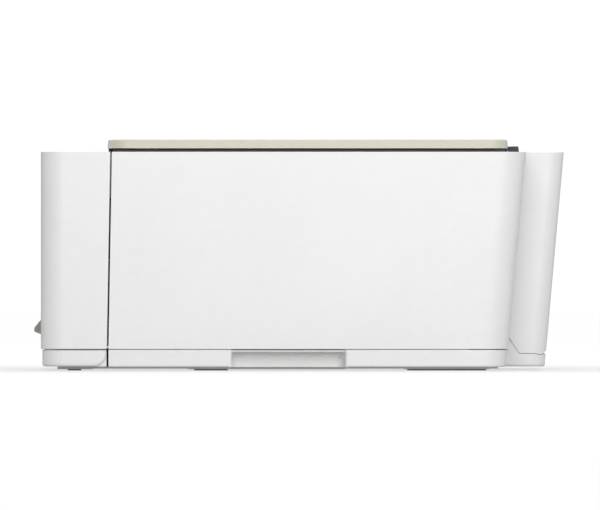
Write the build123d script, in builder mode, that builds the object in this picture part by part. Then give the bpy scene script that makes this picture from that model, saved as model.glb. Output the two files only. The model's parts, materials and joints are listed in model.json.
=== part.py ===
"""Multifunction printer: flatbed scanner under a hinged lid, print carriage,
front door, paper cassette and rear cover.

Frame: +X right seen from the front, +Y to the rear, +Z up.
The origin lies on the ground under the middle of the machine. Sizes in mm.
"""
import math
import os

from build123d import *

os.makedirs("parts", exist_ok=True)

# Overall size
overall_width = 435.0
overall_depth = 364.3
overall_height = 157.8

# Heights of the stacked sections
lid_thickness = 6.0
scanner_reveal = 2.4
seam_z = 14.6
seam_gap = 0.6
foot_height = 1.0
base_plate = 1.6

# Depths along Y
lip_reach = 6.4
door_depth = 47.5
door_gap = 1.2
door_gap_lean = 1.0
rear_cover_depth = 26.6
rear_lean = 5.1

# Corners and walls
front_corner = 14.5
rear_corner = 17.0
cover_corner = 10.0
shell_wall = 2.5
strip_inset = 0.8

# Clearances
running = 0.3
seat_gap = 0.3
bore_clearance = 0.05

side_x = overall_width / 2
front_y = lip_reach - overall_depth / 2
rear_y = overall_depth / 2
top_z = overall_height - lid_thickness - scanner_reveal
gap_tan = math.tan(math.radians(door_gap_lean))
rear_tan = math.tan(math.radians(rear_lean))
base_z = foot_height + base_plate
strip_top = seam_z - seam_gap / 2
shell_bottom = seam_z + seam_gap / 2


def door_rear_y(z):
    """Y of the door's rear edge at height z."""
    return front_y + door_depth - gap_tan * (top_z - z)


def casing_front_y(z):
    """Y of the casing's front edge at height z."""
    return door_rear_y(z) + door_gap


def casing_rear_y(z):
    """Y of the casing's leaning rear wall at height z."""
    return rear_y - rear_cover_depth - rear_tan * (top_z - z)


def cover_rear_y(z):
    """Y of the rear cover's leaning outer face at height z."""
    return rear_y - rear_tan * (top_z - z)


def block(x_span, y_span, z_span, mode=Mode.ADD):
    """Box between two limits on each axis."""
    centre = [(low + high) / 2 for low, high in (x_span, y_span, z_span)]
    size = [high - low for low, high in (x_span, y_span, z_span)]
    with Locations(tuple(centre)):
        Box(*size, mode=mode)


def about(centre, reach):
    """The span that reaches equally far to both sides of a centre."""
    return centre - reach, centre + reach


def both_sides(low, high):
    """The span low..high on the right and its mirror on the left."""
    return (low, high), (-high, -low)


def rod_x(x_span, y, z, radius, mode=Mode.ADD):
    """Round bar along X."""
    with Locations(Location(((x_span[0] + x_span[1]) / 2, y, z), (0, 90, 0))):
        Cylinder(radius, x_span[1] - x_span[0], mode=mode)


def rod_y(x, y_span, z, radius, mode=Mode.ADD):
    """Round bar along Y."""
    with Locations(Location((x, (y_span[0] + y_span[1]) / 2, z), (90, 0, 0))):
        Cylinder(radius, y_span[1] - y_span[0], mode=mode)


def rod_z(x, y, z_span, radius, mode=Mode.ADD):
    """Round bar along Z."""
    with Locations((x, y, (z_span[0] + z_span[1]) / 2)):
        Cylinder(radius, z_span[1] - z_span[0], mode=mode)


def side_profile(points, x_span, mode=Mode.ADD):
    """Extrude a (y, z) outline along X between two limits."""
    with BuildSketch(Plane.YZ.offset(x_span[0])) as outline:
        with BuildLine():
            Polyline(*points, close=True)
        make_face()
    extrude(outline.sketch, amount=x_span[1] - x_span[0], mode=mode)


def leaning_solid(outline, half, corner):
    """A (y, z) outline extruded between -half and half, its rear upright edges rounded."""
    with BuildPart() as solid:
        side_profile(outline, (-half, half))
        upright = solid.edges().filter_by(Axis.X, reverse=True)
        fillet(upright.group_by(Axis.Y)[-1], corner)
    return solid.part


def save(piece, name):
    """Label a finished piece and write it under its own name."""
    piece.part.label = name
    export_step(piece.part, f"parts/{name}.step")


# Paper cassette and the bay that it runs in
paper_width = 210.0
cassette_wall = 3.5
cassette_half = paper_width / 2 + 8.5 + cassette_wall
cassette_clearance = 0.5
cassette_top = seam_z - 0.6
cassette_floor_skin = 1.0
rack_pocket = 1.8
bezel_inset = 1.0
bezel_front_y = front_y + bezel_inset
bezel_rear_y = casing_front_y(seam_z) - door_gap - 0.2
bezel_half = side_x - strip_inset
bezel_corner = 9.0
bezel_wall = 2.0
cassette_bottom = base_z + running
cassette_floor = cassette_bottom + cassette_floor_skin + rack_pocket
cavity_half = cassette_half - cassette_wall
cavity_front_y = bezel_front_y + 10.7
bay_half = cassette_half + cassette_clearance
bay_wall = 2.5
roof_thickness = 2.3
roof_top = strip_top + roof_thickness

# Turn roller at the back of the paper path
turn_radius = 18.0
turn_shaft = 4.0
turn_y = casing_rear_y(seam_z) - 4.7
turn_z = roof_top + 16.3
cassette_rear_y = turn_y - 4.0
path_half = cassette_half + 1.5
cheek = 3.0

# Rear cover hinge
hinge_wall = 2.0
hinge_reach = 4.5
hinge_ear = 2.2
hinge_pin = 1.0
pivot_rise = 4.9
swing_gap = 0.35
rear_cover_half = 150.0
rear_opening_half = rear_cover_half - 10.0
cover_round = 1.6
tail_top = seam_z - 3.2
rear_cover_bottom = tail_top + swing_gap
rear_pivot_z = rear_cover_bottom + pivot_rise
rear_sweep = math.hypot(hinge_reach - cover_round, pivot_rise)
rear_pivot_y = cover_rear_y(rear_pivot_z) - hinge_reach
arm_width = 4.0
rear_arm_x = rear_opening_half - 8.0

# Front door hinge
front_pivot_y = front_y + hinge_reach
door_bottom = seam_z + 0.1
door_bottom_round = 0.8
front_pivot_z = door_bottom + pivot_rise
front_arm_x = side_x - 21.5

# Heel of the rear cover, cut back so that it clears the casing as it swings
cover_casing_gap = 0.5
heel_y = casing_rear_y(rear_cover_bottom)
heel_reach = 9.0
heel_rise = 15.0
heel_run = heel_reach + 1.0


def heel_line_y(z):
    """Y of the cover's slanting heel at height z."""
    return heel_y + heel_reach - (z - rear_cover_bottom + 1) * heel_run / heel_rise


# Hand grips in the sides of the base
grip_front_y = front_y + 130.4
grip_length = 77.3
grip_depth = 14.0
grip_wall = 2.0
grip_corner = 5.5
grip_lead_in = 2.0
grip_roof = 1.4
grip_roof_inset = 3.0

strip_step = 0.9
strip_round = 1.2
tail_round = 2.0
tail_overlap = 20.0
base_front_y = casing_front_y(seam_z)
base_rear_y = casing_rear_y(seam_z) - strip_step
slot_rear_y = cover_rear_y(seam_z) - 12.6
skid_drop = 0.4
plate_front_y = bezel_front_y + 10.2
plate_half = side_x - 27.5
skid_spans = (
    (plate_front_y, bezel_front_y + 34),
    (grip_front_y - 30, grip_front_y + grip_length),
    (base_rear_y - 70, base_rear_y - 12),
)
pocket_floor = base_z + 1.6
side_lip = 1.6
upstand_rise = 9.2
upstand_gap = 0.45
heel_skirt = 1.2
ramp_foot_y = cassette_rear_y + 0.8
ramp_thickness = 3.0
ramp_run = 13.0
slot_margin = 4.0
slot_half = bay_half - slot_margin
arm_root = 8.0


def round_below(solid, front_limit, radius):
    """Round the lowest edges of a solid, apart from the one along its open front."""
    lower = solid.edges().group_by(Axis.Z)[0]
    fillet(lower.filter_by(lambda edge: edge.center().Y > front_limit), radius)


# Base tub: a strip all round, the narrower tail under the rear cover, and the cassette bay
with BuildPart() as base_strip:
    strip_outline = (
        (base_front_y, base_z),
        (casing_rear_y(base_z) - strip_step, base_z),
        (casing_rear_y(strip_top) - strip_step, strip_top),
        (base_front_y, strip_top),
    )
    add(leaning_solid(strip_outline, bezel_half, rear_corner - strip_inset))
    round_below(base_strip, base_front_y + 1, strip_round)
with BuildPart() as base_tail:
    tail_outline = (
        (base_rear_y - tail_overlap, base_z),
        (cover_rear_y(base_z), base_z),
        (cover_rear_y(tail_top), tail_top),
        (base_rear_y - tail_overlap, tail_top),
    )
    add(leaning_solid(tail_outline, rear_cover_half, cover_corner))
    round_below(base_tail, base_rear_y - tail_overlap + 1, tail_round)
with BuildSketch(Plane.XY.offset(foot_height - 1)) as grip_outline:
    with BuildLine():
        grip_rear_y = grip_front_y + grip_length
        grip_back_x = side_x - grip_depth
        Polyline(
            (grip_back_x, grip_front_y),
            (bezel_half, grip_front_y),
            (bezel_half, grip_front_y - 4),
            (side_x + 1, grip_front_y - 4),
            (side_x + 1, grip_rear_y + 4),
            (bezel_half, grip_rear_y + 4),
            (bezel_half, grip_rear_y),
            (grip_back_x, grip_rear_y),
            close=True,
        )
    make_face()
    fillet(grip_outline.vertices().group_by(Axis.X)[0], grip_corner)
    mouth_corners = grip_outline.vertices().group_by(Axis.X)[-2]
    fillet(mouth_corners.filter_by(lambda v: grip_front_y - 1 < v.Y < grip_rear_y + 1), grip_lead_in)
    mirror(about=Plane.YZ)

with BuildPart() as base_tub:
    add(base_strip.part)
    add(base_tail.part)
    # groove in which the rear cover's lower edge swings
    rod_x((-side_x, side_x), rear_pivot_y, rear_pivot_z, rear_sweep + swing_gap, Mode.SUBTRACT)
    # upstands beside the tail that fill the cut-back heel of the rear cover
    upstand_top = rear_cover_bottom + upstand_rise
    upstand = (
        (base_rear_y - 1, tail_top - 1),
        (heel_line_y(tail_top - 1) - heel_skirt, tail_top - 1),
        (heel_line_y(tail_top) - upstand_gap, tail_top),
        (heel_line_y(upstand_top) - upstand_gap, upstand_top),
        (casing_rear_y(upstand_top) + seat_gap, upstand_top),
        (casing_rear_y(shell_bottom) + seat_gap, shell_bottom - seat_gap),
        (base_rear_y - 1, shell_bottom - seat_gap),
    )
    for span in both_sides(rear_cover_half - hinge_wall, rear_cover_half):
        side_profile(upstand, span)
    # bottom plate, which reaches forward under the cassette's front
    plate_low = foot_height + skid_drop
    block((-plate_half, plate_half), (plate_front_y, base_rear_y - 6), (plate_low, base_z))
    for skid in skid_spans:
        block((-plate_half, plate_half), skid, (foot_height, plate_low))
    # side pockets, open at the top
    inner_half = bezel_half - shell_wall
    for span in both_sides(bay_half + bay_wall, inner_half):
        pocket = (base_front_y + shell_wall, base_rear_y - 22)
        block(span, pocket, (pocket_floor, strip_top), Mode.SUBTRACT)
    # locating lip inside the casing's lower edge
    lip_out = side_x - shell_wall - seat_gap
    for span in both_sides(lip_out - side_lip, lip_out):
        block(span, (base_front_y + 3, base_rear_y - 26), (base_z + 2, roof_top))
    # hand grips
    grip_inner_x = grip_back_x - grip_wall
    grip_span = (grip_front_y - grip_wall, grip_rear_y + grip_wall)
    for span in both_sides(grip_inner_x, bezel_half):
        block(span, grip_span, (base_z, strip_top))
    extrude(grip_outline.sketch, amount=strip_top + 1, mode=Mode.SUBTRACT)
    for span in both_sides(grip_inner_x, side_x - grip_roof_inset):
        block(span, grip_span, (strip_top - grip_roof, strip_top))
    # cassette bay
    bay_rear_y = cassette_rear_y + 0.6
    block((-bay_half, bay_half), (base_front_y - 1, bay_rear_y), (base_z, strip_top), Mode.SUBTRACT)
    # slot through which the paper climbs
    paper_slot = (turn_y - turn_radius - 3, slot_rear_y)
    block((-slot_half, slot_half), paper_slot, (base_z + 2, roof_top + 1), Mode.SUBTRACT)
    # rear wall slope that turns the paper upwards
    ramp = (
        (ramp_foot_y, base_z + 1),
        (ramp_foot_y + ramp_thickness, base_z + 1),
        (ramp_foot_y + ramp_thickness + ramp_run, tail_top),
        (ramp_foot_y + ramp_run, tail_top),
    )
    side_profile(ramp, (slot_margin - path_half, path_half - slot_margin))
    # hinge arms of the front door
    for span in both_sides(front_arm_x, front_arm_x + arm_width):
        root_y = base_front_y + arm_root
        block(span, (base_front_y, root_y), (strip_top - 1, front_pivot_z + hinge_ear))
        block(span, (front_pivot_y, root_y), (front_pivot_z - hinge_ear, front_pivot_z + hinge_ear))
        rod_x(span, front_pivot_y, front_pivot_z, hinge_ear)
        rod_x(span, front_pivot_y, front_pivot_z, hinge_pin, Mode.SUBTRACT)
    # hinge arms of the rear cover
    for span in both_sides(rear_arm_x, rear_arm_x + arm_width):
        root_y = base_rear_y - 2 * arm_root
        block(span, (root_y, rear_pivot_y), (rear_pivot_z - hinge_ear, rear_pivot_z + hinge_ear))
        block(span, (root_y, base_rear_y - 3), (tail_top - 1, rear_pivot_z))
        rod_x(span, rear_pivot_y, rear_pivot_z, hinge_ear)
        rod_x(span, rear_pivot_y, rear_pivot_z, hinge_pin, Mode.SUBTRACT)
save(base_tub, "base_tub")

# Roof over the cassette bay, with the paper slot and the window for the pick roller
screw_radius = 1.5
screw_rows = (base_front_y + 60, base_front_y + 130)
screw_x = bay_half - 20
screw_spots = [(x, y) for x in (-screw_x, screw_x) for y in screw_rows]
pick_window_half = 28.0
pick_window_length = 60.0
pick_window_rear_y = turn_y - turn_radius - 2
roof_half = bay_half + bay_wall
with BuildPart() as bay_roof:
    block((-roof_half, roof_half), (base_front_y + 0.6, base_rear_y - 2), (strip_top, roof_top))
    through_roof = (strip_top - 1, roof_top + 1)
    block((-slot_half, slot_half), paper_slot, through_roof, Mode.SUBTRACT)
    pick_window = (pick_window_rear_y - pick_window_length, pick_window_rear_y)
    block((-pick_window_half, pick_window_half), pick_window, through_roof, Mode.SUBTRACT)
    for x, y in screw_spots:
        rod_z(x, y, through_roof, screw_radius + bore_clearance, Mode.SUBTRACT)
save(bay_roof, "bay_roof")

foot_x = side_x - 67.5
foot_width = 14.0
foot_spans = (
    (bezel_front_y + 17, bezel_front_y + 26),
    (grip_front_y - 26, grip_front_y - 3),
    (base_rear_y - 68, base_rear_y - 14),
)
with BuildPart() as feet:
    for x_span in both_sides(foot_x, foot_x + foot_width):
        for y_span in foot_spans:
            block(x_span, y_span, (0, foot_height))
save(feet, "feet")

# Outer casing: leaning rear wall, open at the front, top and bottom
def leaning_shell(inset, front_extra, end_extra):
    """Outline of the casing as a solid, inset by a wall."""
    low, high = shell_bottom - end_extra, top_z + end_extra
    outline = (
        (casing_front_y(low) - front_extra, low),
        (casing_rear_y(low) - inset, low),
        (casing_rear_y(high) - inset, high),
        (casing_front_y(high) - front_extra, high),
    )
    return leaning_solid(outline, side_x - inset, rear_corner - inset)


inlet_x = 52.5 - side_x
inlet_z = roof_top + 16.0
inlet_half_width = 11.0
inlet_half_height = 8.0
port_left = 22.5 - side_x
port_z = roof_top + 49.1
port_width = 12.0
port_half_height = 6.0
socket_gap = 0.2
opening_top_drop = 14.0
ledge_thickness = 2.0
hinge_axis_y = casing_rear_y(top_z) - 9.3
hinge_axis_z = top_z + 1.5
bed_rear_y = hinge_axis_y - 2.5
hinge_x = 150.0
mount_width = 28.0
mount_back = 4.8
mount_top_back = 4.4
pin_cap = 2.0
ledge_half = side_x - shell_wall - 12.0
casing_hollow = leaning_shell(shell_wall, 5, 1)
with BuildPart() as outer_casing:
    add(leaning_shell(0, 0, 0))
    add(casing_hollow, mode=Mode.SUBTRACT)
    # ledge along the rear of the scanner, with pockets for the hinge mounts
    ledge = (bed_rear_y + seat_gap, casing_rear_y(top_z) - 1.5)
    block((-ledge_half, ledge_half), ledge, (top_z - ledge_thickness, top_z))
    pocket = (bed_rear_y - 1, hinge_axis_y + mount_back + seat_gap)
    for centre in (-hinge_x, hinge_x):
        reach = mount_width / 2 + seat_gap
        block((centre - reach, centre + reach), pocket, (top_z - 3, top_z + 1), Mode.SUBTRACT)
    # holes for the power inlet and the data port
    through_wall = (base_rear_y - 8, rear_y)
    reach = inlet_half_width + socket_gap
    rise = inlet_half_height + socket_gap
    block((inlet_x - reach, inlet_x + reach), through_wall, (inlet_z - rise, inlet_z + rise), Mode.SUBTRACT)
    port_hole = (port_left - socket_gap, port_left + port_width + socket_gap)
    rise = port_half_height + socket_gap
    block(port_hole, through_wall, (port_z - rise, port_z + rise), Mode.SUBTRACT)
    # rear opening behind the cover, open at the bottom
    opening = (shell_bottom - 1, top_z - opening_top_drop)
    block((-rear_opening_half, rear_opening_half), through_wall, opening, Mode.SUBTRACT)
save(outer_casing, "outer_casing")

# Chassis levels: the lower stack stands on the bay roof, the upper stack hangs from the casing's top
floor_thickness = 2.0
chassis_floor = roof_top + floor_thickness
path_z = roof_top + 33.1
plate_thickness = 3.0
chassis_half = side_x - 28.5
chassis_inner = chassis_half - plate_thickness
bed_bottom = top_z - 27.4
shelf_top = bed_bottom - 4.0
shelf_thickness = 2.0
door_front_wall = 2.0
deck_front_y = front_y + door_front_wall + seat_gap
deck_rear_y = casing_front_y(top_z) + 0.2
chassis_front_y = base_front_y + 5.3
chassis_rear_y = turn_y - turn_radius - 0.5
cheek_front_y = turn_y - 42.0
cheek_rear_y = turn_y + 13.0
cheek_rise = 4.0
shelf_front_y = deck_front_y + 2.4
plate_nose_y = chassis_front_y - 1.5
tie_bar_depth = 22.0

# Rollers and gears
feed_radius = 6.0
feed_shaft = 4.0
exit_radius = 5.2
exit_shaft = 3.0
feed_y = chassis_front_y + 74.0
exit_y = feed_y - 60.0
feed_z = path_z - feed_radius
exit_z = path_z - exit_radius
gear_width = 6.0
gear_x = chassis_half + 1.0
tooth_relief = 0.15
feed_gear_radius = 22.0
exit_gear_radius = 14.0
idler_gear_radius = 12.0
pinion_radius = 5.0
stud_radius = 3.0
exit_drop = exit_z - feed_z
idler_y = feed_y - (feed_gear_radius + idler_gear_radius) * math.cos(exit_drop / 60.0)
idler_z = feed_z + (feed_gear_radius + idler_gear_radius) * math.sin(exit_drop / 60.0)
motor_angle = math.radians(20)
feed_motor_y = feed_y + (feed_gear_radius + pinion_radius) * math.cos(motor_angle)
feed_motor_z = feed_z + (feed_gear_radius + pinion_radius) * math.sin(motor_angle)
feed_motor_shaft = 1.5

# Carriage guides
rod_radius = 4.0
rod_y_pos = feed_y - 2.0
rod_z_pos = path_z + 28.0
pick_shaft = 3.0
pick_y = turn_y - 30.0
pick_z = roof_top + 9.8
extender_half = 75.0
sleeve_half = extender_half + 11.0
sleeve_rear_y = feed_y - 10.0

with BuildPart() as chassis:
    plate = (
        (chassis_front_y, roof_top),
        (chassis_rear_y, roof_top),
        (chassis_rear_y, bed_bottom),
        (plate_nose_y, bed_bottom),
        (plate_nose_y, shelf_top),
        (shelf_front_y, shelf_top),
        (shelf_front_y, shelf_top - 6),
        (chassis_front_y, shelf_top - 46),
    )
    for span in both_sides(chassis_inner, chassis_half):
        side_profile(plate, span)
    # floor, with room for the tray sleeve and the pick roller
    block((-chassis_half, chassis_half), (chassis_front_y, chassis_rear_y), (roof_top, chassis_floor))
    through_floor = (roof_top - 1, chassis_floor + 1)
    sleeve_room = (chassis_front_y - 1, sleeve_rear_y + 0.5)
    block((-sleeve_half - 0.5, sleeve_half + 0.5), sleeve_room, through_floor, Mode.SUBTRACT)
    pick_room = (pick_window_rear_y - pick_window_length - 2, chassis_rear_y + 1)
    block((-pick_window_half - 2, pick_window_half + 2), pick_room, through_floor, Mode.SUBTRACT)
    # shelf under the control deck and the rear tie bar
    between_plates = (-chassis_inner, chassis_inner)
    block(between_plates, (shelf_front_y, plate_nose_y), (shelf_top - shelf_thickness, shelf_top))
    tie_bar = (bed_bottom - tie_bar_depth, bed_bottom)
    block(between_plates, (chassis_rear_y - 4, chassis_rear_y - 1), tie_bar)
    # cheeks that carry the turn roller and the pick arm
    for span in both_sides(path_half, path_half + cheek):
        block(span, (cheek_front_y, cheek_rear_y), (roof_top, turn_z + turn_radius + cheek_rise))
    # stud of the idler gear
    rod_x((chassis_half - 1, gear_x + gear_width + 1), idler_y, idler_z, stud_radius)
    # shaft bores
    through = (-side_x, side_x)
    rod_x(through, feed_y, feed_z, feed_shaft + bore_clearance, Mode.SUBTRACT)
    rod_x(through, exit_y, exit_z, exit_shaft + bore_clearance, Mode.SUBTRACT)
    rod_x(through, turn_y, turn_z, turn_shaft + bore_clearance, Mode.SUBTRACT)
    rod_x(through, pick_y, pick_z, pick_shaft + bore_clearance, Mode.SUBTRACT)
    rod_x(through, rod_y_pos, rod_z_pos, rod_radius, Mode.SUBTRACT)
    rod_x((0, side_x), feed_motor_y, feed_motor_z, feed_motor_shaft + 0.5, Mode.SUBTRACT)
    for x, y in screw_spots:
        rod_z(x, y, through_floor, screw_radius + bore_clearance, Mode.SUBTRACT)
save(chassis, "chassis")

screw_head = 3.0
head_height = 2.0
socket_radius = 1.2
socket_depth = 1.2
with BuildPart() as chassis_screws:
    for x, y in screw_spots:
        head_top = chassis_floor + head_height
        rod_z(x, y, (strip_top + 0.3, chassis_floor), screw_radius)
        rod_z(x, y, (chassis_floor, head_top), screw_head)
        rod_z(x, y, (head_top - socket_depth, head_top + 0.1), socket_radius, Mode.SUBTRACT)
save(chassis_screws, "chassis_screws")

# Front door: front panel with the output opening, side wings and top flanges
opening_half = cassette_half + 1.0
opening_top = door_bottom + 64.8
opening_corner = 12.0
wing_flange = 13.5
door_arm_gap = 0.3
hinge_cheek = 3.2
hinge_cheek_width = 3.2
door_skin = 2.0


def cheek_starts(arm_x):
    """Inner faces of the two hinge cheeks that hold an arm between them."""
    return arm_x - door_arm_gap - hinge_cheek_width, arm_x + arm_width + door_arm_gap


def door_solid(inset, low, high):
    """Door outline in plan, round at the front corners, with its leaning rear edge."""
    with BuildPart() as solid:
        with BuildSketch(Plane.XY.offset(low)):
            with BuildLine():
                Polyline(
                    (-side_x + inset, front_y + min(inset, door_front_wall)),
                    (side_x - inset, front_y + min(inset, door_front_wall)),
                    (side_x - inset, front_y + door_depth),
                    (-side_x + inset, front_y + door_depth),
                    close=True,
                )
            make_face()
            fillet(vertices().group_by(Axis.Y)[0], front_corner - inset)
        extrude(amount=high - low)
    return solid.part


with BuildPart() as front_door:
    add(door_solid(0, door_bottom, top_z))
    lower_edges = front_door.edges().group_by(Axis.Z)[0]
    fillet(lower_edges.filter_by(lambda e: e.center().Y < front_y + door_depth - 1), door_bottom_round)
    add(door_solid(shell_wall, door_bottom - 1, top_z - door_skin), mode=Mode.SUBTRACT)
    lean = (
        (door_rear_y(door_bottom - 1), door_bottom - 1),
        (door_rear_y(top_z), top_z),
        (front_y + door_depth + 1, top_z),
        (front_y + door_depth + 1, door_bottom - 1),
    )
    side_profile(lean, (-side_x - 1, side_x + 1), Mode.SUBTRACT)
    flange_in = side_x - wing_flange
    block((-flange_in, flange_in), (front_y + door_front_wall, 0), (top_z - 3, top_z + 1), Mode.SUBTRACT)
    inside = side_x - shell_wall
    back = (front_y + door_depth - 3, 0)
    block((-inside, inside), back, (door_bottom - 1, top_z - door_skin), Mode.SUBTRACT)
    with BuildSketch(Plane.XZ.offset(-front_y - 5)) as mouth:
        with BuildLine():
            Polyline(
                (-opening_half, door_bottom - 5),
                (opening_half, door_bottom - 5),
                (opening_half, opening_top),
                (-opening_half, opening_top),
                close=True,
            )
        make_face()
        fillet(mouth.vertices().group_by(Axis.Y)[-1], opening_corner)
    extrude(mouth.sketch, amount=12, both=True, mode=Mode.SUBTRACT)
    # hinge cheeks on both sides of each arm
    cheek_z = (front_pivot_z - hinge_cheek, front_pivot_z + hinge_cheek)
    for low in cheek_starts(front_arm_x):
        for span in both_sides(low, low + hinge_cheek_width):
            rod_x(span, front_pivot_y, front_pivot_z, hinge_cheek)
            block(span, (front_y + 1.2, front_pivot_y), cheek_z)
            rod_x(span, front_pivot_y, front_pivot_z, hinge_pin + bore_clearance, Mode.SUBTRACT)
save(front_door, "front_door")

# Rear cover: a leaning bulge with its own round corners, closed at the top
cover_top_wall = 2.0


def cover_solid(inset, low, high, front_shift):
    """Outline of the rear cover as a solid, inset by a wall on its outer sides."""
    outline = (
        (casing_rear_y(low) + front_shift, low),
        (cover_rear_y(low) - inset, low),
        (cover_rear_y(high) - inset, high),
        (casing_rear_y(high) + front_shift, high),
    )
    return leaning_solid(outline, rear_cover_half - inset, cover_corner - inset)


# knuckles that close the cover's lower ends round the hinge axis
with BuildPart() as cover_knuckles:
    for span in both_sides(rear_cover_half - 4, rear_cover_half):
        rod_x(span, rear_pivot_y, rear_pivot_z, rear_sweep)
    cover_foot = cover_solid(0, rear_cover_bottom - 1, rear_cover_bottom + 12, cover_casing_gap)
    add(cover_foot, mode=Mode.INTERSECT)

with BuildPart() as rear_cover:
    add(cover_solid(0, rear_cover_bottom, top_z, cover_casing_gap))
    toe_y = cover_rear_y(rear_cover_bottom)
    toe = (
        (toe_y - cover_round, rear_cover_bottom),
        (toe_y + 1, rear_cover_bottom - 1),
        (cover_rear_y(rear_cover_bottom + cover_round), rear_cover_bottom + cover_round),
    )
    side_profile(toe, (-rear_cover_half - 1, rear_cover_half + 1), Mode.SUBTRACT)
    cover_top = top_z - cover_top_wall
    cover_hollow = cover_solid(hinge_wall, rear_cover_bottom - 1, cover_top, cover_casing_gap - 4)
    add(cover_hollow, mode=Mode.SUBTRACT)
    heel = (
        (heel_y - 1, rear_cover_bottom - 1),
        (heel_y + heel_reach, rear_cover_bottom - 1),
        (heel_y - 1, rear_cover_bottom - 1 + heel_rise),
    )
    side_profile(heel, (-rear_cover_half - 1, rear_cover_half + 1), Mode.SUBTRACT)
    add(cover_knuckles.part)
    cheek_z = (rear_pivot_z - hinge_cheek, rear_pivot_z + hinge_cheek)
    for low in cheek_starts(rear_arm_x):
        for span in both_sides(low, low + hinge_cheek_width):
            rod_x(span, rear_pivot_y, rear_pivot_z, hinge_cheek)
            block(span, (rear_pivot_y, rear_pivot_y + 3.4), cheek_z)
            rod_x(span, rear_pivot_y, rear_pivot_z, hinge_pin + bore_clearance, Mode.SUBTRACT)
save(rear_cover, "rear_cover")

# Curved paper guide inside the rear cover, with ribs to the cover's wall
guide_radius = turn_radius + 3.0
guide_wall = 2.0
guide_half = path_half - 6.0
guide_low_angle = -30
guide_high_angle = 84
rib_spots = (-90, -30, 30, 90)
rib_width = 2.5
with BuildPart() as rear_paper_guide:
    guide_plane = Plane(origin=(-guide_half, turn_y, turn_z), x_dir=(0, 1, 0), z_dir=(1, 0, 0))
    with BuildSketch(guide_plane) as sector:
        with BuildLine():
            sweep_angle = guide_high_angle - guide_low_angle
            inner = CenterArc((0, 0), guide_radius, guide_low_angle, sweep_angle)
            outer = CenterArc((0, 0), guide_radius + guide_wall, guide_low_angle, sweep_angle)
            Line(inner @ 0, outer @ 0)
            Line(inner @ 1, outer @ 1)
        make_face()
    extrude(sector.sketch, amount=2 * guide_half)
    rib_low = turn_z - 7.5
    rib_high = turn_z + 10.5
    rib = (
        (turn_y + guide_radius - 0.4, rib_low),
        (cover_rear_y(rib_low) - hinge_wall, rib_low),
        (cover_rear_y(rib_high) - hinge_wall, rib_high),
        (turn_y + guide_radius - 1.8, rib_high),
    )
    for x in rib_spots:
        side_profile(rib, (x - rib_width / 2, x + rib_width / 2))
save(rear_paper_guide, "rear_paper_guide")

# Control deck between the door's wings
deck_half = flange_in - 1.0
deck_top = top_z - 0.8
deck_wall = 2.0
button_travel = 0.8
button_gap = 0.2
button_rise = 0.6
button_collar = 1.2
button_stem = 2.0
display_half_width = 45.0
display_half_depth = 11.0
display_depth = 1.4
display_gap = 0.1
post_radius = 3.0
deck_middle_y = (deck_front_y + deck_rear_y) / 2
small_button = 5.0
big_button = 6.5
button_spots = {
    "power_button": (-125.0, big_button),
    "wireless_button": (-95.0, small_button),
    "copy_button": (75.0, small_button),
    "cancel_button": (125.0, small_button),
}
board_top = deck_top - 7.0
board_thickness = 1.6
switch_height = 0.8
post_x = (-146.0, -60.0, 60.0, 146.0)
with BuildPart() as control_deck:
    block((-deck_half, deck_half), (deck_front_y, deck_rear_y), (shelf_top, deck_top))
    hollow_half = deck_half - deck_wall
    hollow = (deck_front_y + deck_wall, deck_rear_y + 1)
    block((-hollow_half, hollow_half), hollow, (shelf_top - 1, deck_top - deck_wall), Mode.SUBTRACT)
    top_front = control_deck.edges().group_by(Axis.Z)[-1].group_by(Axis.Y)[0]
    fillet(top_front, 0.8)
    recess = (deck_middle_y - display_half_depth, deck_middle_y + display_half_depth)
    recess_z = (deck_top - display_depth, deck_top + 1)
    block((-display_half_width, display_half_width), recess, recess_z, Mode.SUBTRACT)
    for x, radius in button_spots.values():
        rod_z(x, deck_middle_y, (deck_top - 4, deck_top + 1), radius + button_gap, Mode.SUBTRACT)
    for x in post_x:
        rod_z(x, deck_middle_y, (board_top, deck_top - 1), post_radius)
save(control_deck, "control_deck")

with BuildPart() as display_window:
    window_half_width = display_half_width - display_gap
    window_half_depth = display_half_depth - display_gap
    window = (deck_middle_y - window_half_depth, deck_middle_y + window_half_depth)
    block((-window_half_width, window_half_width), window, (deck_top - display_depth, deck_top + 0.2))
    fillet(display_window.edges().group_by(Axis.Z)[-1], 0.3)
save(display_window, "display_window")

for button_name, (x, radius) in button_spots.items():
    with BuildPart() as button:
        under_deck = deck_top - deck_wall
        stem_foot = board_top + switch_height + button_travel + button_gap
        rod_z(x, deck_middle_y, (under_deck - 0.5, deck_top + button_rise), radius)
        fillet(button.edges().group_by(Axis.Z)[-1], 0.5)
        rod_z(x, deck_middle_y, (under_deck - 1.5, under_deck - 0.2), radius + button_collar)
        rod_z(x, deck_middle_y, (stem_foot, under_deck - 1), button_stem)
    save(button, button_name)

# Scanner: bed, top frame with the glass, and the moving scan carriage
bed_half = side_x - shell_wall - 1.8
bed_front_y = chassis_front_y - 2.0
bed_wall = 2.0
bed_top = top_z - 2.4
frame_half = side_x - shell_wall - 1.5
frame_front_y = casing_front_y(top_z) + 0.7
frame_rear_y = bed_rear_y - 0.9
frame_top = top_z + 1.9
glass_half = 153.0
glass_front_y = frame_front_y + 7.5
glass_rear_margin = 39.7
glass_rear_y = frame_rear_y - glass_rear_margin
glass_thickness = 2.6
glass_ledge = 3.0
scan_rod_radius = 3.0
scan_rod_y = (glass_front_y + glass_rear_y) / 2
scan_rod_z = bed_bottom + 13.0
scan_motor_x = bed_half - 18.0
lid_overhang = 3.1
lid_rear_y = hinge_axis_y - 3.1
lid_front_y = casing_front_y(top_z) - lid_overhang
frame_lip_half = flange_in - 1.5
scan_belt_y = scan_rod_y + 30.0
scan_pulley_radius = 6.0
belt_thickness = 1.0
belt_gap = 0.1
bed_floor = 2.0
rod_seat = 3.0
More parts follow.
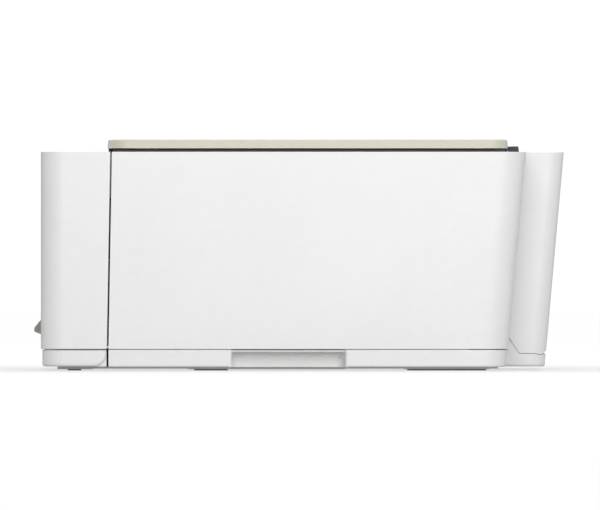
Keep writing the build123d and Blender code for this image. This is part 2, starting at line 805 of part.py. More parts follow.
spindle_radius = 2.0
with BuildPart() as scanner_bed:
    block((-bed_half, bed_half), (bed_front_y, bed_rear_y), (bed_bottom, bed_top))
    fillet(scanner_bed.edges().filter_by(Axis.Z).group_by(Axis.Y)[-1], rear_corner - shell_wall)
    bed_inner = bed_half - bed_wall
    bed_hollow = (bed_front_y + bed_wall, bed_rear_y - bed_wall)
    block((-bed_inner, bed_inner), bed_hollow, (bed_bottom + bed_floor, bed_top + 1), Mode.SUBTRACT)
    for span in both_sides(bed_inner - 2 * rod_seat, bed_inner):
        seat = (scan_rod_y - 2 * rod_seat, scan_rod_y + 2 * rod_seat)
        block(span, seat, (bed_bottom + 1, scan_rod_z + 2 * rod_seat))
    rod_x((1 - bed_half, bed_half - 1), scan_rod_y, scan_rod_z, scan_rod_radius, Mode.SUBTRACT)
    rod_z(-scan_motor_x, scan_belt_y, (bed_bottom + 1, bed_bottom + 8), spindle_radius)
save(scanner_bed, "scanner_bed")

leaf_width = 11.4
leaf_slot = 12.0
glass_low = frame_top - glass_thickness - 0.2
glass_gap = 0.1
with BuildPart() as scanner_top_frame:
    block((-frame_half, frame_half), (frame_front_y, frame_rear_y), (bed_top, frame_top))
    fillet(scanner_top_frame.edges().filter_by(Axis.Z), 3.0)
    fillet(scanner_top_frame.edges().group_by(Axis.Z)[-1], 0.6)
    # front lip over the control deck, under the lid's overhang
    front_lip = (lid_front_y + 0.6, frame_front_y + 4)
    block((-frame_lip_half, frame_lip_half), front_lip, (deck_top + 0.2, frame_top))
    for grow, low in ((glass_gap, glass_low), (-glass_ledge, bed_top - 1)):
        reach = glass_half + grow
        opening = (glass_front_y - grow, glass_rear_y + grow)
        block((-reach, reach), opening, (low, frame_top + 1), Mode.SUBTRACT)
save(scanner_top_frame, "scanner_top_frame")

with BuildPart() as platen_glass:
    block((-glass_half, glass_half), (glass_front_y, glass_rear_y), (glass_low, frame_top - 0.2))
    chamfer(platen_glass.edges().group_by(Axis.Z)[-1], 0.4)
save(platen_glass, "platen_glass")

scan_bar_half = 14.0
scan_bar_top = bed_top - 0.5
scan_bar_bottom = bed_bottom + 9.0
scan_rest_x = 30.0 - bed_half
scan_bar_inset = 4.0
lens_half = 8.0
lens_depth = 3.0
tab_half = 6.0
tab_thickness = 2.0
belt_rise = 3.5

with BuildPart() as scan_carriage:
    bar_ends = (glass_front_y + scan_bar_inset, glass_rear_y - scan_bar_inset)
    block(about(scan_rest_x, scan_bar_half), bar_ends, (scan_bar_bottom, scan_bar_top))
    fillet(scan_carriage.edges().filter_by(Axis.Z), 3.0)
    lens_ends = (glass_front_y + lens_half, glass_rear_y - lens_half)
    lens_z = (scan_bar_top - lens_depth, scan_bar_top + 1)
    block(about(scan_rest_x, lens_half), lens_ends, lens_z, Mode.SUBTRACT)
    scan_bore = scan_rod_radius + bore_clearance
    rod_x(about(scan_rest_x, scan_bar_half + 6), scan_rod_y, scan_rod_z, scan_bore, Mode.SUBTRACT)
    tab_y = scan_belt_y - scan_pulley_radius - belt_gap - belt_thickness - seat_gap
    tab_z = (bed_bottom + belt_rise, scan_bar_bottom + 0.5)
    block(about(scan_rest_x, tab_half), (tab_y - tab_thickness, tab_y), tab_z)
save(scan_carriage, "scan_carriage")

scan_pulley_low = bed_bottom + bed_floor + seat_gap
with BuildPart() as scan_pulley:
    rod_z(-scan_motor_x, scan_belt_y, (scan_pulley_low, bed_bottom + 7.8), scan_pulley_radius)
    pulley_bore = spindle_radius + bore_clearance
    rod_z(-scan_motor_x, scan_belt_y, (bed_bottom, bed_bottom + 9), pulley_bore, Mode.SUBTRACT)
save(scan_pulley, "scan_pulley")

# Lid hinges: fixed mounts, leaves under the lid and pins
knuckle = 2.5
lid_pin = 1.25
# each pin is pressed in from the inner side and stops short of the outer face
lid_pin_spans = both_sides(hinge_x - mount_width / 2, hinge_x + mount_width / 2 - pin_cap)
with BuildPart() as lid_hinge_mounts:
    for centre in (-hinge_x, hinge_x):
        span = about(centre, mount_width / 2)
        block(span, (bed_rear_y, hinge_axis_y + mount_back), (top_z - 11, hinge_axis_z))
        rod_x(span, hinge_axis_y, hinge_axis_z, knuckle)
        back = (
            (hinge_axis_y, hinge_axis_z),
            (hinge_axis_y + mount_back, hinge_axis_z),
            (hinge_axis_y + mount_top_back, hinge_axis_z + knuckle),
            (hinge_axis_y, hinge_axis_z + knuckle),
        )
        side_profile(back, span)
        slot_z = (hinge_axis_z - 3.0, hinge_axis_z + 4)
        block(about(centre, leaf_slot / 2), (bed_rear_y - 1, hinge_axis_y + 6), slot_z, Mode.SUBTRACT)
    for span in lid_pin_spans:
        rod_x(span, hinge_axis_y, hinge_axis_z, lid_pin, Mode.SUBTRACT)
save(lid_hinge_mounts, "lid_hinge_mounts")

with BuildPart() as hinge_pins:
    for span in lid_pin_spans:
        rod_x(span, hinge_axis_y, hinge_axis_z, lid_pin)
    pin_overhang = door_arm_gap + hinge_cheek_width
    for span in both_sides(front_arm_x - pin_overhang, front_arm_x + arm_width + pin_overhang):
        rod_x(span, front_pivot_y, front_pivot_z, hinge_pin)
    for span in both_sides(rear_arm_x - pin_overhang, rear_arm_x + arm_width + pin_overhang):
        rod_x(span, rear_pivot_y, rear_pivot_z, hinge_pin)
save(hinge_pins, "hinge_pins")

lid_bottom = overall_height - lid_thickness
leaf_front_y = glass_rear_y + 4.0
leaf_low = frame_top + 0.4
leaf_high = leaf_low + 1.6
with BuildPart() as lid_hinge_leaves:
    for centre in (-hinge_x, hinge_x):
        span = about(centre, leaf_width / 2)
        block(span, (leaf_front_y, hinge_axis_y), (leaf_low, leaf_high))
        rod_x(span, hinge_axis_y, hinge_axis_z, knuckle)
        bore = lid_pin + bore_clearance
        rod_x(about(centre, leaf_width), hinge_axis_y, hinge_axis_z, bore, Mode.SUBTRACT)
save(lid_hinge_leaves, "lid_hinge_leaves")

# Scanner lid: a shallow cap with round corners and a soft upper edge
lid_half = side_x - 1.5
lid_wall = 2.5
lid_skin = 2.0
lid_front_corner = 12.0
lid_rear_corner = 11.0
lid_draft = 5.0
lid_edge_round = 1.4
leaf_pocket_gap = 0.3
lid_boss = 3.5


def lid_plan(inset, height):
    """Lid outline in plan at a height, inset by a wall."""
    half = lid_half - inset
    front, rear = lid_front_y + inset, lid_rear_y - inset
    with BuildSketch(Plane.XY.offset(height)) as plan:
        with BuildLine():
            Polyline((-half, front), (half, front), (half, rear), (-half, rear), close=True)
        make_face()
        fillet(plan.vertices().group_by(Axis.Y)[0], lid_front_corner - inset)
        fillet(plan.vertices().group_by(Axis.Y)[-1], lid_rear_corner - inset)
    return plan.sketch


with BuildPart() as scanner_lid:
    extrude(lid_plan(0, lid_bottom), amount=lid_thickness, taper=lid_draft)
    fillet(scanner_lid.edges().group_by(Axis.Z)[-1], lid_edge_round)
    extrude(lid_plan(lid_wall, lid_bottom - 1), amount=lid_thickness - lid_skin + 1, mode=Mode.SUBTRACT)
    lid_ceiling = lid_bottom + lid_thickness - lid_skin
    for centre in (-hinge_x, hinge_x):
        leaf_pocket = about(centre, leaf_width / 2 + leaf_pocket_gap)
        block(leaf_pocket, (lid_rear_y - 6, lid_rear_y + 2), (lid_bottom - 1, leaf_high), Mode.SUBTRACT)
        for y in (leaf_front_y + 5, lid_rear_y - 8):
            rod_z(centre, y, (leaf_high, lid_ceiling + 0.5), lid_boss)
save(scanner_lid, "scanner_lid")

pad_inset = 2.0
pad_half = glass_half - pad_inset
with BuildPart() as lid_backing_pad:
    pad_span = (glass_front_y + pad_inset, glass_rear_y - pad_inset)
    block((-pad_half, pad_half), pad_span, (frame_top + 0.2, lid_ceiling))
    fillet(lid_backing_pad.edges().filter_by(Axis.Z), 2.0)
save(lid_backing_pad, "lid_backing_pad")

bumper_x = lid_half - 1.5
bumper_width = 6.0
with BuildPart() as lid_bumpers:
    for x_span in both_sides(bumper_x - bumper_width, bumper_x):
        for y in (lid_front_y + 27, lid_rear_y - 20):
            block(x_span, about(y, bumper_width / 2), (frame_top + 0.1, lid_bottom))
save(lid_bumpers, "lid_bumpers")

# Paper cassette: full-width bezel in front, narrower tray behind, open at the rear
rack_front_y = base_front_y + 105.0
rack_width = 24.0
heel_skin = 3.0
groove_insets = (front_corner, 11.5, 9.0, 6.5)
bezel_body_y = bezel_rear_y - 12.0
toe_round = 2.0
hollow_end = 14.0
finger_half = 45.0
finger_depth = 9.0
finger_height = 6.5


def door_sweep(inset):
    """Radius that the door's lower front edge sweeps at a distance inset from its side."""
    set_back = front_corner - math.sqrt(front_corner ** 2 - (front_corner - inset) ** 2)
    reach = hinge_reach - set_back - door_bottom_round
    return math.hypot(reach, pivot_rise - door_bottom_round) + door_bottom_round


with BuildPart() as paper_cassette:
    with BuildSketch(Plane.XY.offset(cassette_bottom)) as bezel_plan:
        with BuildLine():
            Polyline(
                (-bezel_half, bezel_front_y),
                (bezel_half, bezel_front_y),
                (bezel_half, bezel_rear_y),
                (-bezel_half, bezel_rear_y),
                close=True,
            )
        make_face()
        fillet(bezel_plan.vertices().group_by(Axis.Y)[0], front_corner - strip_inset)
    extrude(bezel_plan.sketch, amount=cassette_top - cassette_bottom)
    heel_edges = paper_cassette.edges().filter_by(Axis.X).group_by(Axis.Y)[-1].group_by(Axis.Z)[0]
    fillet(heel_edges, bezel_corner)
    lowest = paper_cassette.edges().group_by(Axis.Z)[0]
    fillet(lowest.filter_by(lambda e: e.center().Y < bezel_body_y), toe_round)
    block((-cassette_half, cassette_half), (bezel_body_y, cassette_rear_y), (cassette_bottom, cassette_top))
    for span in both_sides(cassette_half, bezel_half - heel_skin):
        block(span, (bezel_body_y, bezel_rear_y), (cassette_bottom, cassette_top))
    # groove in which the front door's lower edge swings, shallower towards its round corners
    for outer, inner in zip(groove_insets, groove_insets[1:]):
        groove_radius = door_sweep(outer) + swing_gap
        for span in both_sides(side_x - outer, side_x - inner):
            rod_x(span, front_pivot_y, front_pivot_z, groove_radius, Mode.SUBTRACT)
    groove_half = side_x - groove_insets[0]
    groove_radius = door_sweep(front_corner) + swing_gap
    rod_x((-groove_half, groove_half), front_pivot_y, front_pivot_z, groove_radius, Mode.SUBTRACT)
    # hollow sides of the bezel, open underneath
    hollow_y = (bezel_front_y + 2 * bezel_wall, bezel_rear_y - bezel_corner)
    hollow_z = (cassette_bottom - 1, cassette_top - bezel_wall)
    for span in both_sides(cassette_half + 1, bezel_half - hollow_end):
        block(span, hollow_y, hollow_z, Mode.SUBTRACT)
    # paper space, rack pocket and finger recess
    cavity = (-cavity_half, cavity_half)
    paper_space = (cavity_front_y, cassette_rear_y + 1)
    block(cavity, paper_space, (cassette_floor, cassette_top + 1), Mode.SUBTRACT)
    rack_z = (cassette_bottom + cassette_floor_skin, cassette_floor + 1)
    block(cavity, (rack_front_y, rack_front_y + rack_width), rack_z, Mode.SUBTRACT)
    finger_y = (bezel_front_y - 1, bezel_front_y + finger_depth)
    finger_z = (cassette_bottom - 1, cassette_bottom + finger_height)
    block((-finger_half, finger_half), finger_y, finger_z, Mode.SUBTRACT)
save(paper_cassette, "paper_cassette")


tooth_centre = 0.9
tooth_root = 1.1


def spur_gear(x_span, y, z, radius, bore, teeth):
    """Toothed wheel about X whose tips stop just short of the pitch circle."""
    with BuildPart() as wheel:
        wheel_plane = Plane(origin=(x_span[0], y, z), x_dir=(0, 1, 0), z_dir=(1, 0, 0))
        with BuildSketch(wheel_plane) as face:
            Circle(radius - tooth_root)
            with PolarLocations(radius - tooth_centre, teeth):
                Rectangle(2 * (tooth_centre - tooth_relief), math.pi * radius / teeth * 0.8)
            Circle(bore, mode=Mode.SUBTRACT)
        extrude(face.sketch, amount=x_span[1] - x_span[0])
    return wheel


# Paper guides: two racks meet on a pinion in the floor pocket
guide_thickness = 3.0
width_guide_length = 80.0
rack_y = rack_front_y + rack_width / 2
rack_low = cassette_bottom + cassette_floor_skin + 0.2
rack_high = cassette_floor - 0.1
rack_reach = 18.0
rack_bar = 4.0
guide_plate_low = cassette_floor + 0.3
guide_top = cassette_top - 0.4
guide_inner = paper_width / 2 + 1.0
pinion_pitch = 7.0
pinion_teeth = 14
pinion_tooth = (1.5, 1.2)
guide_outer = guide_inner + guide_thickness
for sign, guide_name in ((1, "width_guide_right"), (-1, "width_guide_left")):
    with BuildPart() as width_guide:
        plate_span = sorted((sign * guide_inner, sign * guide_outer))
        block(plate_span, about(rack_y, width_guide_length / 2), (guide_plate_low, guide_top))
        rack_span = sorted((-sign * rack_reach, sign * guide_outer))
        rack_inner = pinion_pitch + running
        edge = sorted((rack_y + sign * rack_inner, rack_y + sign * (rack_inner + rack_bar)))
        block(rack_span, edge, (rack_low, rack_high))
        block(plate_span, edge, (rack_low, guide_plate_low + 1))
    save(width_guide, guide_name)

with BuildPart() as width_pinion:
    with BuildSketch(Plane.XY.offset(rack_low)) as teeth_ring:
        Circle(pinion_pitch - tooth_root)
        with PolarLocations(pinion_pitch - tooth_centre, pinion_teeth):
            Rectangle(*pinion_tooth)
    extrude(teeth_ring.sketch, amount=rack_high - rack_low)
width_pinion.part.locate(Location((0, rack_y, 0)))
save(width_pinion, "width_pinion")

length_guide_half = 20.0
length_guide_y = cavity_front_y + 1
length_guide_foot = 25.0
with BuildPart() as length_guide:
    upright = (length_guide_y, length_guide_y + guide_thickness)
    block((-length_guide_half, length_guide_half), upright, (guide_plate_low, guide_top))
    foot_y = (length_guide_y, length_guide_y + length_guide_foot)
    block((6 - length_guide_half, length_guide_half - 6), foot_y, (guide_plate_low, guide_plate_low + 1.2))
save(length_guide, "length_guide")

# Output tray: a sleeve on the bay roof with a sloping top, and the sliding extender in it
sleeve_floor = roof_top + 2.0
extender_low = sleeve_floor + 0.4
extender_high = extender_low + 2.4
sleeve_top = extender_high + 1.0
sill_y = front_y + door_front_wall + 0.7
tray_half = opening_half - 2.0
tray_back_y = exit_y + 6.0
tray_back_z = path_z - 14.0
extender_rear_y = sill_y + 178.0
slope_skin = 2.4
slope_run = 4.0
with BuildPart() as output_tray:
    block((-sleeve_half, sleeve_half), (sill_y, sleeve_rear_y), (roof_top, sleeve_floor))
    for span in both_sides(extender_half + 1, sleeve_half):
        block(span, (sill_y, tray_back_y), (sleeve_floor, sleeve_top))
    slope = (
        (sill_y, sleeve_top),
        (tray_back_y, sleeve_top),
        (tray_back_y, tray_back_z),
        (tray_back_y - slope_run, tray_back_z),
        (sill_y, sleeve_top + slope_skin),
    )
    side_profile(slope, (-tray_half, tray_half))
save(output_tray, "output_tray")

lip_half = 60.0
lip_tip_y = front_y - lip_reach
lip_top = seam_z + 22.0
lip_outline = (
    (front_y, lip_top),
    (lip_tip_y, seam_z + 14.2),
    (lip_tip_y, seam_z + 11.5),
    (front_y, seam_z + 9.1),
    (front_y, extender_low),
    (sill_y - 0.3, extender_low),
    (sill_y - 0.3, lip_top),
)
with BuildPart() as output_extender:
    side_profile(lip_outline, (-lip_half, lip_half))
    tip_edges = output_extender.edges().filter_by(Axis.X).group_by(Axis.Y)[0]
    fillet(tip_edges, 0.9)
    block((-extender_half, extender_half), (sill_y - 0.8, extender_rear_y), (extender_low, extender_high))
save(output_extender, "output_extender")

# Print path: platen, rollers, pinch rollers and star wheels
station_width = 75.0
platen_right = chassis_inner - station_width - 1.0
platen_top = path_z - 1.8
platen_rib_count = 14
platen_rib_pitch = 15.4
with BuildPart() as platen:
    block((-chassis_inner, platen_right), (exit_y + 6, feed_y - 8), (path_z - 6, platen_top))
    for step in range(platen_rib_count):
        x = step * platen_rib_pitch - 100
        block(about(x, 1), (exit_y + 9, feed_y - 9), (platen_top - 0.2, path_z - 0.5))
save(platen, "platen")


def shaft_with_rollers(shaft_radius, shaft_span, y, z, roller_radius, roller_spans):
    """Straight shaft along X with thicker roller bands."""
    with BuildPart() as shaft:
        rod_x(shaft_span, y, z, shaft_radius)
        for span in roller_spans:
            rod_x(span, y, z, roller_radius)
    return shaft


gear_end = gear_x + gear_width + 1.0
feed_bands = [(-104 + i * 44, -72 + i * 44) for i in range(5)]
exit_bands = [(-95 + i * 36, -85 + i * 36) for i in range(6)]
turn_bands = [(4 - cassette_half, cassette_half - 4)]
turn_ends = (-path_half - cheek - 1, path_half + cheek + 1)
turn_roller = shaft_with_rollers(turn_shaft, turn_ends, turn_y, turn_z, turn_radius, turn_bands)
save(turn_roller, "turn_roller")

pinch_radius = 3.5
pinch_axle = 1.5
star_radius = 4.0
star_axle = 1.0
nip_gap = 0.3
nip_bar_half = 3.0
ear_half = 2.6


def nip_bar(y, axle_z, bar_z, ear_spots, axle_radius):
    """Bar between the chassis plates with ears that carry an axle of small rollers."""
    with BuildPart() as bar:
        block((-chassis_inner, chassis_inner), about(y, nip_bar_half), bar_z)
        for x in ear_spots:
            block(about(x, 2), about(y, ear_half), (axle_z - ear_half, bar_z[0] + 0.5))
            rod_x(about(x, 3), y, axle_z, axle_radius + bore_clearance, Mode.SUBTRACT)
    return bar


pinch_z = path_z + nip_gap + pinch_radius
star_z = path_z + nip_gap + star_radius
pinch_ears = [-106 + i * 53 for i in range(5)]
star_ears = (-104, -36, 36, 104)
with BuildPart() as nip_bars:
    add(nip_bar(feed_y, pinch_z, (pinch_z + 4.0, pinch_z + 6.4), pinch_ears, pinch_axle).part)
    add(nip_bar(exit_y, star_z, (star_z + 4.5, star_z + 7.0), star_ears, star_axle).part)
save(nip_bars, "nip_bars")
pinch_bands = [(-98 + i * 53, -61 + i * 53) for i in range(4)]
pinch_rollers = shaft_with_rollers(pinch_axle, (-109, 109), feed_y, pinch_z, pinch_radius, pinch_bands)
save(pinch_rollers, "pinch_rollers")
star_bands = [(-91 + i * 36, -89 + i * 36) for i in range(6)]
star_wheels = shaft_with_rollers(star_axle, (-107, 107), exit_y, star_z, star_radius, star_bands)
save(star_wheels, "star_wheels")

# Gear train outside the right chassis plate
gear_span = (gear_x, gear_x + gear_width)
for name, y, z, shaft_r, band_r, bands, gear_r in (
    ("feed_roller", feed_y, feed_z, feed_shaft, feed_radius, feed_bands, feed_gear_radius),
    ("exit_roller", exit_y, exit_z, exit_shaft, exit_radius, exit_bands, exit_gear_radius),
):
    shaft = shaft_with_rollers(shaft_r, (-chassis_half - 1, gear_end), y, z, band_r, bands)
    gear = spur_gear(gear_span, y, z, gear_r, shaft_r + 0.02, round(2 * gear_r))
    with BuildPart() as roller:
        add(shaft.part)
        add(gear.part)
    save(roller, name)
idler_bore = stud_radius + bore_clearance
idler_teeth = round(2 * idler_gear_radius)
save(spur_gear(gear_span, idler_y, idler_z, idler_gear_radius, idler_bore, idler_teeth), "idler_gear")

with BuildPart() as motor_pinion:
    pinion_gear_teeth = round(2 * pinion_radius)
    add(spur_gear(gear_span, feed_motor_y, feed_motor_z, pinion_radius, 0.5, pinion_gear_teeth).part)
    rod_x((chassis_inner + 0.2, gear_x + gear_width), feed_motor_y, feed_motor_z, feed_motor_shaft)
save(motor_pinion, "motor_pinion")

# Paper guide above the tray sleeve
upper_half = cassette_half - 5.0
with BuildPart() as upper_paper_guide:
    block((-upper_half, upper_half), (feed_y + 8, turn_y - turn_radius - 2), (path_z - 3.4, path_z - 1.2))
    for span in both_sides(upper_half - 3, upper_half):
        block(span, (feed_y + 14, turn_y - turn_radius - 20), (chassis_floor, path_z - 3))
save(upper_paper_guide, "upper_paper_guide")

# Pick arm and its roller
pick_radius = 8.0
pick_arm_length = 27.0
pick_axle = 2.0
pick_drop = 9.0
pick_arm_half = 8.0
pick_boss = 5.0
pick_bar_half = 3.5
pick_roller_y = pick_y - math.sqrt(pick_arm_length ** 2 - pick_drop ** 2)
pick_roller_z = pick_z - pick_drop
with BuildPart() as pick_arm:
    rod_x((-path_half - 1, path_half + 1), pick_y, pick_z, pick_shaft)
    arm_width_span = (-pick_arm_half, pick_arm_half)
    rod_x(arm_width_span, pick_y, pick_z, pick_boss)
    rod_x(arm_width_span, pick_roller_y, pick_roller_z, pick_boss)
    drop = math.atan2(pick_drop, pick_y - pick_roller_y)
    rise_y = pick_bar_half * math.sin(drop)
    rise_z = pick_bar_half * math.cos(drop)
    bar = (
        (pick_y - rise_y, pick_z + rise_z),
        (pick_roller_y - rise_y, pick_roller_z + rise_z),
        (pick_roller_y + rise_y, pick_roller_z - rise_z),
        (pick_y + rise_y, pick_z - rise_z),
    )
    side_profile(bar, arm_width_span)
    rod_x((-9, 9), pick_roller_y, pick_roller_z, pick_axle + bore_clearance, Mode.SUBTRACT)
save(pick_arm, "pick_arm")
pick_tyres = both_sides(pick_arm_half + 0.4, 17)
pick_roller = shaft_with_rollers(
    pick_axle, (-18, 18), pick_roller_y, pick_roller_z, pick_radius, pick_tyres)
save(pick_roller, "pick_roller")

# Print carriage on its rod, with two ink cartridges and their latches
carriage_half = 38.0
carriage_x = chassis_inner - carriage_half - 2.0
carriage_front_y = exit_y - 6.0
carriage_rear_y = feed_y + 6.0
carriage_bottom = path_z + 13.7
carriage_top = carriage_bottom + 44.0
cartridge_rear_y = feed_y - 8.0
cartridge_space = 35.0
bay_starts = (-36.0, 1.0)
carriage_floor = 2.0
nozzle_y = (exit_y + 13, feed_y - 15)
with BuildPart() as guide_rods:
    rod_x((-chassis_half, chassis_half), rod_y_pos, rod_z_pos, rod_radius)
    rod_x((1 - bed_half, bed_half - 1), scan_rod_y, scan_rod_z, scan_rod_radius)
save(guide_rods, "guide_rods")

latch_pivot_y = cartridge_rear_y + 3.0
latch_pivot_z = carriage_top - 2.0
latch_barrel = 1.8
with BuildPart() as carriage:
    carriage_depth = (carriage_front_y, carriage_rear_y)
    block(about(carriage_x, carriage_half), carriage_depth, (carriage_bottom, carriage_top))
    fillet(carriage.edges().filter_by(Axis.Z), 2.0)
    above = carriage_top + 1
    for start in bay_starts:
        low = carriage_x + start
        high = low + cartridge_space
        bay = (carriage_front_y - 1, cartridge_rear_y)
        block((low, high), bay, (carriage_bottom + carriage_floor, above), Mode.SUBTRACT)
        nozzle_window = (carriage_bottom - 1, carriage_bottom + 3)
        block((low + 3, high - 3), nozzle_y, nozzle_window, Mode.SUBTRACT)
        latch_room = (cartridge_rear_y - 1, cartridge_rear_y + 6)
        block((low, high), latch_room, (latch_pivot_z - 3, above), Mode.SUBTRACT)
    sill = (carriage_front_y, carriage_front_y + carriage_floor)
    block(about(carriage_x, carriage_half - 1), sill, (carriage_bottom, carriage_bottom + 10))
    across = about(carriage_x, carriage_half + 2)
    rod_x(across, latch_pivot_y, latch_pivot_z, latch_barrel + bore_clearance, Mode.SUBTRACT)
    rod_x(across, rod_y_pos, rod_z_pos, rod_radius + bore_clearance, Mode.SUBTRACT)
save(carriage, "carriage")

cartridge_side_gap = 0.6
latch_over = 0.9
for start, colour_name in zip(bay_starts, ("black", "color")):
    low = carriage_x + start
    high = low + cartridge_space
    with BuildPart() as cartridge:
        body = (carriage_front_y + carriage_floor + cartridge_side_gap, cartridge_rear_y - seat_gap)
        body_z = (carriage_bottom + carriage_floor, carriage_top - 5)
        block((low + cartridge_side_gap, high - cartridge_side_gap), body, body_z)
        fillet(cartridge.edges().filter_by(Axis.Z), 1.5)
        nozzle = (nozzle_y[0] + 0.5, nozzle_y[1] - 0.5)
        block((low + 3.5, high - 3.5), nozzle, (path_z + 1.7, carriage_bottom + 3))
    save(cartridge, f"ink_cartridge_{colour_name}")
    with BuildPart() as latch:
        rod_x((low - latch_over, high + latch_over), latch_pivot_y, latch_pivot_z, latch_barrel)
        flap = (carriage_front_y - 1, latch_pivot_y)
        block((low + 1, high - 1), flap, (latch_pivot_z - 1.4, latch_pivot_z + 0.6))
        fillet(latch.edges().filter_by(Axis.Z).group_by(Axis.Y)[0], 1.5)
    save(latch, f"cartridge_latch_{colour_name}")

# Carriage rail sheet, belt, idler and motor
rail_front_y = carriage_rear_y + 8.0
rail_thickness = 1.5
belt_z = rod_z_pos + 12.7
pulley_radius = 6.5
pulley_x = chassis_inner - 14.0
pulley_inner = pulley_radius + belt_gap
pulley_span = (carriage_rear_y + 1.2, carriage_rear_y + 6.4)
rail_rear_y = rail_front_y + rail_thickness
rail_top = carriage_top + 4.0
rail_flange = 8.0
with BuildPart() as carriage_rail:
    block(between_plates, (rail_front_y, rail_rear_y), (path_z + 18, rail_top))
    block(between_plates, (rail_front_y, rail_front_y + rail_flange), (rail_top - rail_thickness, rail_top))
    rod_y(-pulley_x, (rail_front_y - 1, rail_rear_y + 0.5), belt_z, 2.5, Mode.SUBTRACT)
    rod_y(pulley_x, (carriage_rear_y + 1, rail_front_y + 1), belt_z, spindle_radius)
save(carriage_rail, "carriage_rail")

scan_belt_inner = scan_pulley_radius + belt_gap
belt_width = 4.0
with BuildPart() as drive_belts:
    belt_plane = Plane(origin=(0, carriage_rear_y + 6.0, belt_z), x_dir=(1, 0, 0), z_dir=(0, -1, 0))
    with BuildSketch(belt_plane) as ring:
        SlotCenterToCenter(2 * pulley_x, 2 * (pulley_inner + belt_thickness))
        SlotCenterToCenter(2 * pulley_x, 2 * pulley_inner, mode=Mode.SUBTRACT)
    extrude(ring.sketch, amount=belt_width)
    with BuildSketch(Plane.XY.offset(bed_bottom + belt_rise)) as loop:
        with Locations((0, scan_belt_y)):
            SlotCenterToCenter(2 * scan_motor_x, 2 * (scan_belt_inner + belt_thickness))
            SlotCenterToCenter(2 * scan_motor_x, 2 * scan_belt_inner, mode=Mode.SUBTRACT)
    extrude(loop.sketch, amount=belt_width)
save(drive_belts, "drive_belts")

with BuildPart() as idler_pulley:
    rod_y(pulley_x, pulley_span, belt_z, pulley_radius)
    through_pulley = (pulley_span[0] - 1, pulley_span[1] + 1)
    rod_y(pulley_x, through_pulley, belt_z, spindle_radius + bore_clearance, Mode.SUBTRACT)
save(idler_pulley, "idler_pulley")

with BuildPart() as drive_pulley:
    rod_y(-pulley_x, pulley_span, belt_z, pulley_radius)
    rod_y(-pulley_x, (pulley_span[0], rail_rear_y), belt_z, 1.5)
save(drive_pulley, "drive_pulley")

feed_motor_radius = 12.0
carriage_motor_radius = 13.0
scan_motor_radius = 11.0
feed_motor_end = chassis_inner - 30.0
carriage_motor_end = rail_front_y + 32.0
motor_cap = 2.0
motor_boss = 4.0
scan_motor_low = bed_bottom + 9.0
with BuildPart() as drive_motors:
    rod_x((feed_motor_end, chassis_inner), feed_motor_y, feed_motor_z, feed_motor_radius)
    rod_x((feed_motor_end - motor_cap, feed_motor_end), feed_motor_y, feed_motor_z, motor_boss)
    rod_y(-pulley_x, (rail_rear_y, carriage_motor_end), belt_z, carriage_motor_radius)
    rod_y(-pulley_x, (carriage_motor_end, carriage_motor_end + motor_cap), belt_z, motor_boss)
    rod_z(scan_motor_x, scan_belt_y, (scan_motor_low, bed_bottom + 22), scan_motor_radius)
    bracket = (scan_motor_x - 4, bed_half - bed_wall)
    block(bracket, about(scan_belt_y, 9), (scan_motor_low - 1, scan_motor_low + 0.5))
    rod_z(scan_motor_x, scan_belt_y, (scan_pulley_low, scan_motor_low), scan_pulley_radius)
save(drive_motors, "drive_motors")

# Service station under the parked carriage
with BuildPart() as service_station:
    station = (chassis_inner - station_width, chassis_inner)
    block(station, (exit_y + 7, feed_y - 9), (path_z - 12, path_z - 2))
    for start in bay_starts:
        low = carriage_x + start + 4
        high = low + cartridge_space - 8
        block((low, high), (nozzle_y[0] + 1, nozzle_y[1] - 1), (path_z - 2.5, path_z + 1.2))
save(service_station, "service_station")

# Electronics: main board on the left plate, power supply, inlet and data port
board_x = port_left
button_board_half = 150.0
switch_radius = 3.0
standoff_radius = 2.5
with BuildPart() as circuit_boards:
    # main board on stand-offs at the left chassis plate, and the board under the buttons
    board_span = (board_x - board_thickness, board_x)
    block(board_span, (feed_y + 30, chassis_rear_y), (roof_top + 8, bed_bottom - 14))
    for y in (feed_y + 36, chassis_rear_y - 6):
        for z in (roof_top + 14, bed_bottom - 20):
            rod_x((board_x - 0.5, -chassis_half), y, z, standoff_radius)
    block((board_x - 6, board_x - 1), (feed_y + 60, feed_y + 84), (path_z, path_z + 24))
    button_board = (-button_board_half, button_board_half)
    block(button_board, about(deck_middle_y, 14), (board_top - board_thickness, board_top))
    for x, radius in button_spots.values():
        rod_z(x, deck_middle_y, (board_top - 0.1, board_top + switch_height), switch_radius)
save(circuit_boards, "circuit_boards")

supply_right = -path_half - cheek - 3.0
supply_height = 34.0
with BuildPart() as power_supply:
    supply_y = (chassis_rear_y - 62, chassis_rear_y - 5)
    block((-chassis_inner, supply_right), supply_y, (chassis_floor, chassis_floor + supply_height))
    fillet(power_supply.edges().filter_by(Axis.Z), 3.0)
save(power_supply, "power_supply")

